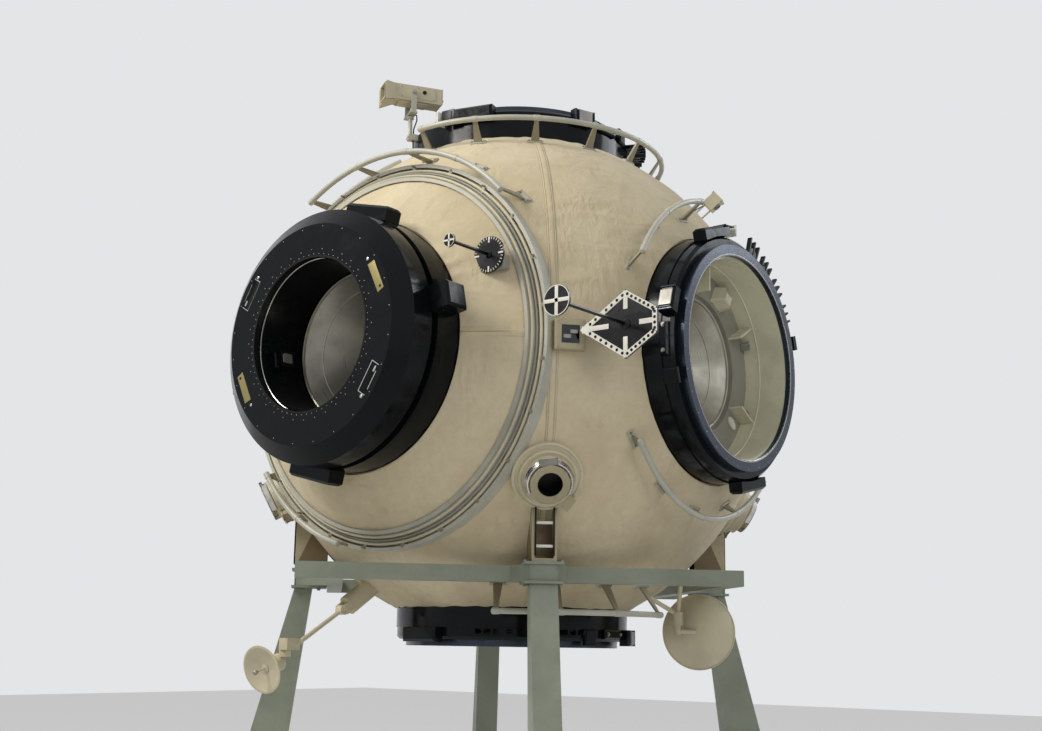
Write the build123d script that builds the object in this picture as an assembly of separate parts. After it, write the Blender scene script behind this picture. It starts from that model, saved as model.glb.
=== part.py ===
from build123d import *
import os
from math import acos, cos, degrees, radians, sin, sqrt

# Docking node module with six ports, held on a box-steel stand, at full size.
# Millimetres, +Z up. The origin lies on the floor under the hull's centre.
# The front port looks along -Y and the right port along +X.
# Azimuth 0 is -Y and grows towards +X, and elevation is measured from the equator.

# Hull
HULL_R = 1650.0
HULL_WALL = 60.0
CENTRE_Z = HULL_R * 2
SEAT_GAP = 0.3

# Ports: radius and axial values are measured from the hull's centre along the port's axis
RIM_R = 738.0
NECK_R = RIM_R + 7
NECK_SKIRT = 60.0
NECK_CUT = sqrt((HULL_R - HULL_WALL) ** 2 - NECK_R ** 2)
DEEP_FACE = HULL_R + 269
DEEP_THROAT_R = RIM_R - 283
DEEP_SEAT = HULL_R - 130
DEEP_MOUTH_R = DEEP_THROAT_R - 15
DEEP_CHAMBER_R = RIM_R - 118
DEEP_RING_LONG = 259.0
SHORT_FACE = HULL_R + 64
SHORT_THROAT_R = RIM_R - 121
SHORT_SEAT = HULL_R - 270
SHORT_MOUTH_R = RIM_R * 0.542
SHORT_CHAMBER_R = RIM_R - 98
SHORT_RING_LONG = 114.0
SEAT_PLATE = 25.0
SEAT_SLEEVE = 12.0
RING_FLANGE = 60.0
RING_BEVEL = 35.0
RING_GROOVE = 40.0
SILVER_R = RIM_R - 57
SILVER_THICK = 40.0
LIP_THICK = 11.0
LIP_DEEP = 34.0
LINER_THICK = 12.0
LINER_RIBS = 6
LINER_RIB_THICK = 14.0
LINER_RIB_HIGH = 90.0
LINER_RIB_IN = SHORT_MOUTH_R + 45

# Guide blocks and fins on the docking rings
BLOCK_SINK = 10.0
BLOCK_STEP = 15.0
FIN_GROUPS = 4
FIN_IN_GROUP = 3
FIN_HIGH = 130.0
FIN_THICK = 12.0
FIN_SPAN = 50.0

# Hatches with their receiving cones
HATCH_R = DEEP_CHAMBER_R - 120
HATCH_EDGE = 36.0
CONE_DEPTH = 400.0
CONE_END_R = 95.0
CONE_WALL = 12.0
SOCKET_DEPTH = 60.0
HINGE_R = HATCH_R + 45
HINGE_DROP = 30.0
HINGE_PIN_R = 10.0
HINGE_WEB = 18.0
KNUCKLE_R = 18.0
KNUCKLE_LONG = 120.0
LUG_THICK = 20.0
LUG_GAP = 1.0
PIN_PLAY = 0.05

# Cable ring round the front port
CABLE_RING_OUT = HULL_R * 0.713939
CABLE_RING_WIDE = 118.0
CABLE_RING_IN = CABLE_RING_OUT - CABLE_RING_WIDE
CABLE_RING_HIGH = 82.0
CABLE_RING_TOP = sqrt(HULL_R ** 2 - CABLE_RING_OUT ** 2) + CABLE_RING_HIGH
CABLE_RAIL = 22.0
CABLE_SINK = 60.0
CABLE_FLOOR = 25.0
CABLE_TIES = 24
CABLE_TIE_HIGH = 50.0
CABLE_TIE_WIDE = 24.0

# Handrails
RAIL_TUBE_R = 17.0
RAIL_POST_THICK = 12.0
RAIL_POST_TOP = 26.0
RAIL_POST_FOOT = 60.0
RAIL_POST_SINK = 15.0
RAIL_POST_STEP = 22.0
RAIL_POST_INSET = 60.0

# Perforated rib
RIB_AZ = -45.0
RIB_FROM = 35.0
RIB_CLEAR = 30.0
RIB_TO = degrees(acos((NECK_R + RIB_CLEAR) / HULL_R))
RIB_HIGH = 90.0
RIB_THICK = 30.0
RIB_HOLES = 11
RIB_HOLE_R = 22.0
RIB_TUBE_R = 13.0
RIB_TUBE_FROM = 38.0

# Lifting bosses and the struts under them
BOSS_AZ = (45.0, 135.0, 225.0, 315.0)
BOSS_EL = -27.8
BOSS_STEPS = ((200.0, 28.0), (165.0, 62.0), (140.0, 105.0), (112.0, 150.0))
BOSS_BORE_R = 70.0
BOSS_BORE_DEEP = 120.0
STRUT_OUT = HULL_R * 0.8515
STRUT_TOP = CENTRE_Z - HULL_R * 0.5636
STRUT_CHEEK = 18.0
STRUT_SPREAD = 62.0
STRUT_WEB_IN = 110.0

# Stand, with heights measured from the floor
BEAM_RHO = HULL_R * 0.697
BEAM_WIDE = 100.0
BEAM_HIGH = 92.0
BEAM_TOP = CENTRE_Z - HULL_R * 0.7636
BEAM_LEFT_OVER = 220.0
HEAD_IN = BEAM_RHO + BEAM_WIDE / 2
HEAD_OUT = HEAD_IN + 200
HEAD_WIDE = 150.0
HEAD_ROOT = 330.0
HEAD_PLATE = 15.0
HEAD_PLATE_WIDE = 220.0
HEAD_PLATE_LIP = 20.0
LEG_WIDE = 156.0
LEG_TOP_IN = HEAD_OUT - 110
LEG_FOOT_IN = HEAD_OUT + 123
LEG_FOOT_OUT = LEG_FOOT_IN + 375
FOOT_LONG = 480.0
FOOT_WIDE = 340.0
FOOT_THICK = 25.0
FOOT_BOLT_SQUARE = 240.0
FOOT_BOLT_R = 13.0

# Television camera on its mast
MAST_AZ = -31.8
MAST_RHO = RIM_R + 52
MAST_R = 15.0
MAST_FOOT = SHORT_FACE - 94
MAST_TOP = SHORT_FACE + 76
CLAMP_HIGH = 40.0
CLAMP_WIDE = 50.0
FORK_GAP = 140.0
FORK_ARM = 12.0
FORK_DEEP = 36.0
FORK_HIGH = 165.0
FORK_PIN_R = 8.0
FORK_PIN_IN = 20.0
CAMERA_PIVOT = MAST_TOP + 145
CAMERA_LONG = 400.0
CAMERA_WIDE = 128.0
CAMERA_HIGH = 110.0
CAMERA_SKIN = 6.0
CAMERA_LENS_R = 32.0
CAMERA_LENS_LONG = 40.0
HOOD_DEEP = 110.0

# Dish aerials under the hull: places on the hull are shares of its radius, the rest are millimetres
LEFT_ROOT = (-0.315152, -0.460606, -0.848485)
LEFT_SHOULDER = (-0.334545, -0.606061, -0.912727)
LEFT_WRIST = (-0.367879, -0.812121, -1.050303)
LEFT_PIVOT_OFF = (-48.0, -22.0, -19.0)
LEFT_DISH_OFF = (-83.0, -170.0, -136.0)
LEFT_FACING = (0.05, -0.95, -0.3)
LEFT_DISH_R = 145.0
RIGHT_FEET = ((0.521212, 0.127273, -0.830303), (0.654545, 0.212121, -0.709091))
RIGHT_HUB = (0.624848, 0.220606, -0.934545)
RIGHT_DISH_OFF = (69.0, 136.0, -63.0)
RIGHT_FACING = (-0.25, 0.96, 0.0)
RIGHT_DISH_R = 235.0
DISH_WALL = 6.0
BOWL_DEPTH = 0.28
ROOT_R = 62.0
BOOM_R = 14.0
SHOULDER_R = 30.0
SHOULDER_LONG = 60.0
EAR_THICK = 12.0
AERIAL_PIN_R = 8.0
WRIST_SIZE = 70.0
PIVOT_LONG = 40.0
PIVOT_SINK = 5.0
DRUM_R = 52.0
DRUM_LONG = 90.0
DRUM_SHAFT = 25.0
SHAFT_R = 20.0
FEED_R = 6.0
FEED_OUT = 60.0
HUB_R = 32.0
HUB_LONG = 50.0
HUB_CAP = 30.0
HUB_ROOM = 10.0
HANGER_R = 19.0

# Docking targets, as (sideways, up, out) shares of the hull's radius in the port's own directions
LARGE_TARGET_AT = (0.993939, -0.004848, 0.69697)
LARGE_TARGET_LEFT = 300.0
LARGE_TARGET_RIGHT = 200.0
LARGE_TARGET_HALF = 190.0
LARGE_TARGET_EDGE = 68.0
LARGE_TARGET_ROD = 628.0
LARGE_DISC_R = 80.0
SMALL_TARGET_AT = (0.532727, 0.269091, 0.839394)
SMALL_TARGET_R = 105.0
SMALL_TARGET_ROD = 345.0
SMALL_DISC_R = 38.0
TARGET_THICK = 12.0
TARGET_ROD_R = 10.0
TARGET_POST_R = 24.0

# Lamp box and sensor box
LAMP_AZ, LAMP_EL = 47.8, -0.6
LAMP_SIZE = 170.0
LAMP_HIGH = 80.0
LAMP_WINDOW = 102.0
LAMP_RECESS = 15.0
SENSOR_AZ, SENSOR_EL = 111.6, 41.5
SENSOR_SIZE = 80.0
SENSOR_LONG = 96.0
SENSOR_OUT = 137.0
SENSOR_LEG_R = 6.0
SENSOR_LEG_APART = 56.0

PORTS = {
    # name: (axis, hinge side, deep or short)
    "front": ((0, -1, 0), (0, 0, -1), "deep"),
    "rear": ((0, 1, 0), (0, 0, 1), "deep"),
    "right": ((1, 0, 0), (0, 1, 0), "short"),
    "left": ((-1, 0, 0), (0, -1, 0), "short"),
    "top": ((0, 0, 1), (1, 0, 0), "short"),
    "bottom": ((0, 0, -1), (-1, 0, 0), "short"),
}
PORT_SIZES = {
    # kind: (face, throat radius, seat, mouth radius, chamber radius)
    "deep": (DEEP_FACE, DEEP_THROAT_R, DEEP_SEAT, DEEP_MOUTH_R, DEEP_CHAMBER_R),
    "short": (SHORT_FACE, SHORT_THROAT_R, SHORT_SEAT, SHORT_MOUTH_R, SHORT_CHAMBER_R),
}
GUIDE_BLOCKS = {
    # kind: rows of (angle, tangential length, height over the rim, from the ring's back, axial length);
    # angles run from the port's side direction towards its up direction
    "deep": ((76.0, 330.0, 77.0, -100.0, 120.0), (11.0, 150.0, 142.0, -100.0, 160.0),
             (256.0, 330.0, 77.0, -100.0, 120.0), (191.0, 150.0, 142.0, -100.0, 160.0)),
    "short": ((108.0, 300.0, 62.0, 2.0, 88.0), (164.0, 150.0, 62.0, 2.0, 98.0), (181.0, 190.0, 32.0, 2.0, 58.0),
              (197.0, 90.0, 27.0, 2.0, 98.0), (282.0, 300.0, 62.0, 2.0, 88.0), (17.0, 90.0, 52.0, 2.0, 98.0)),
}
FIN_ANGLE = {"right": 49.0, "left": 49.0, "top": 45.0, "bottom": 45.0}
BLOCK_TURN = {"front": 0.0, "rear": 0.0, "right": 0.0, "left": 0.0, "top": 176.0, "bottom": 176.0}
CENTRE = Vector(0, 0, CENTRE_Z)


def spin(points):
    """Revolve a closed outline of (radius, axial) points about the Z axis."""
    return revolve(Plane.XZ * make_face(Polyline(*points, close=True)), axis=Axis.Z)


def on_port(name, shape):
    """Carry a shape from a port's own frame, +Z outwards and +X to its hinge, onto the hull."""
    axis, hinge, _ = PORTS[name]
    return Plane(origin=CENTRE, x_dir=hinge, z_dir=axis).location * shape


def from_outside(name, shape):
    """Carry a shape drawn as seen from outside, +X sideways, +Y up and +Z outwards, onto a port."""
    axis = Vector(*PORTS[name][0])
    side = Vector(0, 0, 1).cross(axis)
    side = side if side.length > 0.5 else Vector(1, 0, 0)
    return Plane(origin=CENTRE, x_dir=side, z_dir=axis).location * shape


def heading(azimuth):
    """Unit vector of an azimuth in the floor plane."""
    return Vector(sin(radians(azimuth)), -cos(radians(azimuth)), 0)


def skyward(azimuth, elevation):
    """Unit vector from the hull's centre at an azimuth and an elevation."""
    flat = heading(azimuth) * cos(radians(elevation))
    return Vector(flat.X, flat.Y, sin(radians(elevation)))


def on_hull(azimuth, elevation, shape, along=None):
    """Carry a shape with +Z as the hull's normal at a place on the hull; its zero is the hull's centre."""
    normal = skyward(azimuth, elevation)
    side = along if along is not None else Vector(0, 0, 1).cross(normal)
    return Plane(origin=CENTRE, x_dir=side, z_dir=normal).location * shape


def at_azimuth(azimuth, shape):
    """Carry a shape with +X as the heading and +Z up onto the floor's origin."""
    return Plane(origin=(0, 0, 0), x_dir=heading(azimuth), z_dir=(0, 0, 1)).location * shape


def on_radius(shares):
    """A place given as shares of the hull's radius from its centre."""
    return CENTRE + Vector(*shares) * HULL_R


def tube(start, end, radius):
    """A round bar between two points."""
    line = Vector(*end) - Vector(*start)
    frame = Plane(origin=start, z_dir=line)
    return frame.location * Cylinder(radius, line.length, align=(Align.CENTER, Align.CENTER, Align.MIN))


def clear_of_hull(shape):
    """Cut a shape back so that it seats on the hull."""
    return shape - Pos(*CENTRE) * Sphere(HULL_R + SEAT_GAP)


# Hull panels: split at the equator and on the four meridians between the ports
def hull_panels():
    shell = Sphere(HULL_R) - Sphere(HULL_R - HULL_WALL)
    bore = Cylinder(NECK_R + SEAT_GAP, HULL_R * 2, align=(Align.CENTER, Align.CENTER, Align.MIN))
    shell = Pos(*CENTRE) * shell
    for name in PORTS:
        shell -= on_port(name, bore)
    big = HULL_R * 2
    panels = {}
    for side, azimuth in (("front", 0), ("right", 90), ("rear", 180), ("left", 270)):
        for level, align in (("upper", Align.MIN), ("lower", Align.MAX)):
            corner = Box(big, big, big, align=(Align.MIN, Align.MIN, align))
            wedge = at_azimuth(azimuth - 45, Pos(0, 0, CENTRE_Z) * corner)
            panels[f"hull_{level}_{side}"] = shell & wedge
    return panels


# Port necks: plain tubes through the hull
def port_neck(name):
    face, throat, seat, mouth, chamber = PORT_SIZES[PORTS[name][2]]
    inner_end = min(seat - NECK_SKIRT, NECK_CUT)
    outer_end = ring_back(PORTS[name][2] == "deep")
    return on_port(name, spin([(chamber, inner_end), (NECK_R, inner_end), (NECK_R, outer_end),
                               (chamber, outer_end)]))


# Hatch seats: the plate that a hatch closes on, with its hinge lugs and pin
def hatch_seat(name):
    face, throat, seat, mouth, chamber = PORT_SIZES[PORTS[name][2]]
    outer = chamber - SEAT_GAP
    if PORTS[name][2] == "deep":
        outer_end = ring_back(True) - SEAT_GAP
        body = spin([(throat, seat), (outer, seat), (outer, seat + SEAT_PLATE),
                     (throat + SEAT_SLEEVE, seat + SEAT_PLATE), (throat + SEAT_SLEEVE, outer_end),
                     (throat, outer_end)])
    else:
        inner = mouth + RING_FLANGE / 2
        body = spin([(inner, seat), (outer, seat), (outer, seat + SEAT_PLATE), (inner, seat + SEAT_PLATE)])
    lug_at = KNUCKLE_LONG / 2 + LUG_GAP + LUG_THICK / 2
    for side in (-1, 1):
        lug = Pos(HINGE_R, side * lug_at, seat - HINGE_DROP / 2) * Box(KNUCKLE_R * 2, LUG_THICK, HINGE_DROP)
        eye = Pos(HINGE_R, side * lug_at, seat - HINGE_DROP) * Rot(90, 0, 0) * Cylinder(KNUCKLE_R, LUG_THICK)
        body += lug + eye
    pin = Pos(HINGE_R, 0, seat - HINGE_DROP) * Rot(90, 0, 0) * Cylinder(HINGE_PIN_R, 2 * lug_at + LUG_THICK)
    return on_port(name, body + pin)


def ring_back(deep):
    """Axial place where the docking ring meets its neck."""
    return DEEP_FACE - DEEP_RING_LONG if deep else SHORT_FACE - SHORT_RING_LONG


# Docking rings
def docking_ring(name):
    face, throat, seat, mouth, chamber = PORT_SIZES[PORTS[name][2]]
    deep = PORTS[name][2] == "deep"
    back = ring_back(deep)
    if deep:
        groove_end = back + RING_GROOVE
        outline = [(throat, back), (RIM_R - RING_FLANGE, back), (RIM_R - RING_FLANGE, groove_end),
                   (RIM_R, groove_end), (RIM_R, face - RING_BEVEL), (RIM_R - RING_BEVEL, face), (throat, face)]
    else:
        black_face = face - SILVER_THICK
        outline = [(throat, back), (RIM_R, back), (RIM_R, black_face - RING_BEVEL / 2),
                   (RIM_R - RING_BEVEL / 2, black_face), (throat, black_face)]
    return on_port(name, spin(outline))


# Seal rings: the flat bright ring on a short port's face, and the thin lip in a deep port's mouth
def seal_ring(name):
    face, throat, seat, mouth, chamber = PORT_SIZES[PORTS[name][2]]
    if PORTS[name][2] == "deep":
        outer = throat - SEAT_GAP
        outline = [(outer - LIP_THICK, face - LIP_DEEP), (outer, face - LIP_DEEP), (outer, face),
                   (outer - LIP_THICK, face)]
    else:
        back = face - SILVER_THICK + SEAT_GAP
        outline = [(throat, back), (SILVER_R, back), (SILVER_R, face), (throat, face)]
    return on_port(name, spin(outline))


# Throat liners of the short ports: a sleeve with webs that brace the cone's seat
def throat_liner(name):
    outer = SHORT_THROAT_R - SEAT_GAP
    low = SHORT_SEAT + SEAT_PLATE + SEAT_GAP
    body = spin([(outer - LINER_THICK, low), (outer, low), (outer, SHORT_FACE - LIP_DEEP),
                 (outer - LINER_THICK, SHORT_FACE - LIP_DEEP)])
    long = outer - LINER_THICK / 2 - LINER_RIB_IN
    web = Pos(LINER_RIB_IN, 0, low) * Box(long, LINER_RIB_THICK, LINER_RIB_HIGH, align=(
        Align.MIN, Align.CENTER, Align.MIN))
    for index in range(LINER_RIBS):
        body += Rot(0, 0, 360 / LINER_RIBS * (index + 0.5)) * web
    return from_outside(name, body)


# Guide blocks round each ring, and the fins beside them on the short ports
def guide_blocks(name):
    back = ring_back(PORTS[name][2] == "deep")
    ring = Cylinder(RIM_R + SEAT_GAP, HULL_R * 4)
    neck = Cylinder(NECK_R + SEAT_GAP, 2 * back)
    pieces = []
    for angle, long, high, start, deep in GUIDE_BLOCKS[PORTS[name][2]]:
        block = Pos(RIM_R - BLOCK_SINK, 0, back + start) * Box(high + BLOCK_SINK, long, deep, align=(
            Align.MIN, Align.CENTER, Align.MIN))
        block = chamfer(block.edges().group_by(Axis.X)[-1], min(BLOCK_STEP, high / 3))
        turned = Rot(0, 0, angle + BLOCK_TURN[name]) * block
        pieces.append(clear_of_hull(from_outside(name, turned - ring - neck)))
    return pieces


def ring_fins(name):
    base_back = SHORT_FACE - SHORT_RING_LONG + 10
    base_front = SHORT_FACE - SILVER_THICK - RING_BEVEL
    inner = RIM_R + SEAT_GAP
    section = make_face(Polyline((inner, base_back), (inner + FIN_THICK, base_back),
                                 (inner + FIN_THICK, base_front), (inner, base_front), close=True))
    body = Rot(0, 0, -FIN_SPAN / 2) * revolve(Plane.XZ * section, axis=Axis.Z, revolution_arc=FIN_SPAN)
    fin = Pos(inner + FIN_THICK / 2, 0, (base_back + base_front) / 2) * Box(
        FIN_HIGH, FIN_THICK, base_front - base_back, align=(Align.MIN, Align.CENTER, Align.CENTER))
    group = FIN_SPAN / FIN_GROUPS
    for number in range(FIN_GROUPS):
        for index in range(FIN_IN_GROUP):
            turn = -FIN_SPAN / 2 + group * (number + (index + 0.7) / (FIN_IN_GROUP + 0.6))
            body += Rot(0, 0, turn) * fin
    return from_outside(name, Rot(0, 0, FIN_ANGLE[name]) * body)


# Hatches, each with its receiving cone, which swing into the cabin
def hatch(name):
    face, throat, seat, mouth, chamber = PORT_SIZES[PORTS[name][2]]
    top = seat - SEAT_GAP
    end = top - CONE_DEPTH
    floor = end - SOCKET_DEPTH
    body = spin([(0, floor), (CONE_END_R, floor), (CONE_END_R, end), (mouth, top), (HATCH_R, top),
                 (HATCH_R, top - HATCH_EDGE), (mouth + CONE_WALL * 2, top - HATCH_EDGE),
                 (CONE_END_R + CONE_WALL, end - CONE_WALL), (CONE_END_R + CONE_WALL, floor - CONE_WALL),
                 (0, floor - CONE_WALL)])
    web = Pos(HATCH_R - HINGE_WEB / 2, 0, seat - HINGE_DROP) * Box(
        HINGE_R - HATCH_R + HINGE_WEB / 2, KNUCKLE_LONG, HINGE_WEB, align=(Align.MIN, Align.CENTER, Align.CENTER))
    knuckle = Pos(HINGE_R, 0, seat - HINGE_DROP) * Rot(90, 0, 0) * Cylinder(KNUCKLE_R, KNUCKLE_LONG)
    bore = Pos(HINGE_R, 0, seat - HINGE_DROP) * Rot(90, 0, 0) * Cylinder(HINGE_PIN_R + PIN_PLAY, KNUCKLE_LONG)
    return on_port(name, body + web + knuckle - bore)


# Cable ring: two rails on a floor that follows the hull, with cross ties
def cable_ring():
    hull_in = sqrt(HULL_R ** 2 - CABLE_RING_IN ** 2)
    hull_out = sqrt(HULL_R ** 2 - CABLE_RING_OUT ** 2)
    out_r, in_r = CABLE_RING_OUT, CABLE_RING_IN
    body = spin([(in_r, hull_in - CABLE_SINK), (out_r, hull_out - CABLE_SINK), (out_r, CABLE_RING_TOP),
                 (out_r - CABLE_RAIL, CABLE_RING_TOP), (out_r - CABLE_RAIL, hull_out + CABLE_FLOOR),
                 (in_r + CABLE_RAIL, hull_in + CABLE_FLOOR / 4), (in_r + CABLE_RAIL, hull_in + CABLE_FLOOR),
                 (in_r, hull_in + CABLE_FLOOR)])
    span = out_r - in_r - CABLE_RAIL / 4
    tie = Pos(in_r + CABLE_RAIL / 8, 0, CABLE_RING_TOP) * Box(span, CABLE_TIE_WIDE, CABLE_TIE_HIGH, align=(
        Align.MIN, Align.CENTER, Align.MAX))
    for index in range(CABLE_TIES):
        body += Rot(0, 0, 360 / CABLE_TIES * (index + 0.5)) * tie
    return clear_of_hull(on_port("front", body))


# Handrails: arcs about a port's axis, on posts that stand square to the hull
RAILS = {
    # node: rows of (port, tilt from its axis, height over the hull, first angle, last angle, foot); the feet
    # stand square to the hull, or along the port's axis on the hull or on the cable ring
    "handrails_front": (("front", 42.83, 163.6, 43.0, 122.0, "axial"),
                        ("front", 41.67, 105.2, 215.0, 255.0, "ring")),
    "handrails_right": (("right", 32.18, 175.3, 100.0, 150.0, "square"),
                        ("right", 32.81, 105.0, 217.0, 316.0, "square")),
    "handrails_rear": (("rear", 42.83, 163.6, 43.0, 122.0, "axial"),
                       ("rear", 41.67, 105.2, 225.0, 255.0, "axial")),
    "handrails_left": (("left", 32.18, 175.3, 100.0, 150.0, "square"),
                       ("left", 32.81, 105.0, 217.0, 316.0, "square")),
    "handrail_top": (("top", 32.85, 160.5, -93.0, 47.0, "square"),),
    "handrail_bottom": (("bottom", 35.99, 218.6, -58.0, 3.0, "square"),),
}
RAIL_ZERO = {
    # port: (direction of angle 0, direction of angle 90)
    "front": ((1, 0, 0), (0, 0, 1)), "rear": ((-1, 0, 0), (0, 0, 1)),
    "right": ((0, 1, 0), (0, 0, 1)), "left": ((0, -1, 0), (0, 0, 1)),
    "top": ((1, 0, 0), (0, 1, 0)), "bottom": ((1, 0, 0), (0, 1, 0)),
}


def handrail(port, tilt, height, first, last, stand):
    zero = Vector(*RAIL_ZERO[port][0])
    quarter = Vector(*RAIL_ZERO[port][1])
    axis = Vector(*PORTS[port][0])
    axial = (HULL_R + height) * cos(radians(tilt))
    radius = (HULL_R + height) * sin(radians(tilt))

    def place(angle):
        flat = zero * cos(radians(angle)) + quarter * sin(radians(angle))
        return CENTRE + axis * axial + flat * radius

    steps = max(2, round((last - first) / RAIL_POST_STEP))
    path = ThreePointArc(place(first), place((first + last) / 2), place(last))
    rail = sweep(Plane(origin=path @ 0, z_dir=path % 0) * Circle(RAIL_TUBE_R), path=path)
    pieces = [rail]
    inset = RAIL_TUBE_R / radius * RAIL_POST_INSET
    for index in range(steps + 1):
        angle = first + inset + (last - first - 2 * inset) * index / steps
        middle = place(angle)
        if stand == "square":
            foot = CENTRE + (middle - CENTRE).normalized() * (HULL_R - RAIL_POST_SINK)
        elif stand == "axial":
            foot = middle - axis * (axial - sqrt(HULL_R ** 2 - radius ** 2) + RAIL_POST_SINK)
        else:
            foot = middle - axis * (axial - CABLE_RING_TOP - SEAT_GAP)
        along = quarter * cos(radians(angle)) - zero * sin(radians(angle))
        head = middle - (middle - foot).normalized() * (RAIL_TUBE_R + SEAT_GAP)
        pieces.append(clear_of_hull(post(foot, head, along)))
    return pieces


def post(foot, head, along):
    """A plate from a foot up to a rail's middle, wide at the foot, that lies along the rail."""
    rise = head - foot
    outline = Polyline((-RAIL_POST_FOOT / 2, 0), (RAIL_POST_FOOT / 2, 0), (RAIL_POST_TOP / 2, rise.length),
                       (-RAIL_POST_TOP / 2, rise.length), close=True)
    flat = extrude(make_face(outline), RAIL_POST_THICK / 2, both=True)
    return Plane(origin=foot, x_dir=along, z_dir=along.cross(rise)).location * flat


def handrails(rows):
    return Compound(children=[piece for row in rows for piece in handrail(*row)])


# Perforated rib on the meridian between the front and left ports
def rib():
    ring = Cylinder(HULL_R + RIB_HIGH, RIB_THICK) - Cylinder(HULL_R - 10, RIB_THICK)
    reach = HULL_R * 3
    low = Rot(0, 0, RIB_FROM) * Box(reach, reach, RIB_THICK, align=(Align.CENTER, Align.MIN, Align.CENTER))
    high = Rot(0, 0, RIB_TO) * Box(reach, reach, RIB_THICK, align=(Align.CENTER, Align.MAX, Align.CENTER))
    web = ring & low & high
    for index in range(RIB_HOLES):
        angle = radians(RIB_FROM + (RIB_TO - RIB_FROM) * (index + 0.5) / RIB_HOLES)
        middle = HULL_R + RIB_HIGH / 2
        web -= Pos(middle * cos(angle), middle * sin(angle), 0) * Cylinder(RIB_HOLE_R, RIB_THICK)
    side = heading(RIB_AZ).cross(Vector(0, 0, 1))
    crest = [Vector(cos(radians(angle)), sin(radians(angle)), 0) * (HULL_R + RIB_HIGH)
             for angle in (RIB_TUBE_FROM, (RIB_TUBE_FROM + RIB_TO) / 2, RIB_TO)]
    path = ThreePointArc(*crest)
    web += sweep(Plane(origin=path @ 0, z_dir=path % 0) * Circle(RIB_TUBE_R), path=path)
    frame = Plane(origin=CENTRE, x_dir=heading(RIB_AZ), z_dir=side)
    return clear_of_hull(frame.location * web)


# Lifting bosses: stepped discs with a socket, square to the hull
def bosses():
    pieces = []
    low = HULL_R - BOSS_STEPS[0][1]
    points = [(0, low)]
    for radius, top in BOSS_STEPS:
        points += [(radius, low), (radius, HULL_R + top)]
        low = HULL_R + top
    rim = HULL_R + BOSS_STEPS[-1][1]
    points += [(BOSS_BORE_R, rim), (BOSS_BORE_R, rim - BOSS_BORE_DEEP), (0, rim - BOSS_BORE_DEEP)]
    ring_room = Cylinder(CABLE_RING_OUT + SEAT_GAP, CABLE_RING_TOP + SEAT_GAP,
                         align=(Align.CENTER, Align.CENTER, Align.MIN))
    for azimuth in BOSS_AZ:
        boss = clear_of_hull(on_hull(azimuth, BOSS_EL, spin(points)))
        pieces.append(boss - on_port("front", ring_room))
    return Compound(children=pieces)


# Struts: two cheeks and a web that stand on each stand head and cradle the hull
def struts():
    base = BEAM_TOP + HEAD_PLATE
    top = STRUT_TOP
    pieces = []
    for azimuth in BOSS_AZ:
        cheek = Pos(0, 0, (base + top) / 2) * Box(STRUT_OUT, STRUT_CHEEK, top - base,
                                                  align=(Align.MIN, Align.CENTER, Align.CENTER))
        body = Pos(0, STRUT_SPREAD, 0) * cheek + Pos(0, -STRUT_SPREAD, 0) * cheek
        foot = Pos(0, 0, base + STRUT_CHEEK / 2) * Box(STRUT_OUT, STRUT_SPREAD * 2, STRUT_CHEEK,
                                                       align=(Align.MIN, Align.CENTER, Align.CENTER))
        inner = Pos(0, 0, (base + top) / 2) * Box(HEAD_IN, 4 * STRUT_SPREAD, 2 * (top - base),
                                                  align=(Align.MIN, Align.CENTER, Align.CENTER))
        web = Pos(STRUT_OUT - STRUT_WEB_IN, 0, (base + top) / 2) * Box(STRUT_CHEEK, STRUT_SPREAD * 2, top - base)
        body = at_azimuth(azimuth, body + foot + web - inner)
        boss_room = Cylinder(BOSS_STEPS[0][0] + SEAT_GAP, HULL_R * 2, align=(Align.CENTER, Align.CENTER, Align.MIN))
        pieces.append(clear_of_hull(body) - on_hull(azimuth, BOSS_EL, boss_room))
    return Compound(children=pieces)


# Stand beams: a square under the hull's equator band, one box beam to a side
def stand_beams():
    beams = {}
    half = BEAM_RHO + BEAM_WIDE / 2
    inner = BEAM_RHO - BEAM_WIDE / 2
    middle = BEAM_TOP - BEAM_HIGH / 2
    rows = (
        # name, azimuth, from, to, both along the beam from its middle
        ("front", 45, -BEAM_RHO - BEAM_LEFT_OVER, half),
        ("rear", 225, -BEAM_RHO - BEAM_LEFT_OVER, half),
        ("right", 135, -inner, inner),
        ("left", 315, -inner, inner),
    )
    for name, azimuth, start, end in rows:
        long = end - start
        beam = Pos(BEAM_RHO, (start + end) / 2, middle) * Box(BEAM_WIDE, long, BEAM_HIGH)
        beams[f"stand_beam_{name}"] = at_azimuth(azimuth, beam)
    return beams


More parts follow.
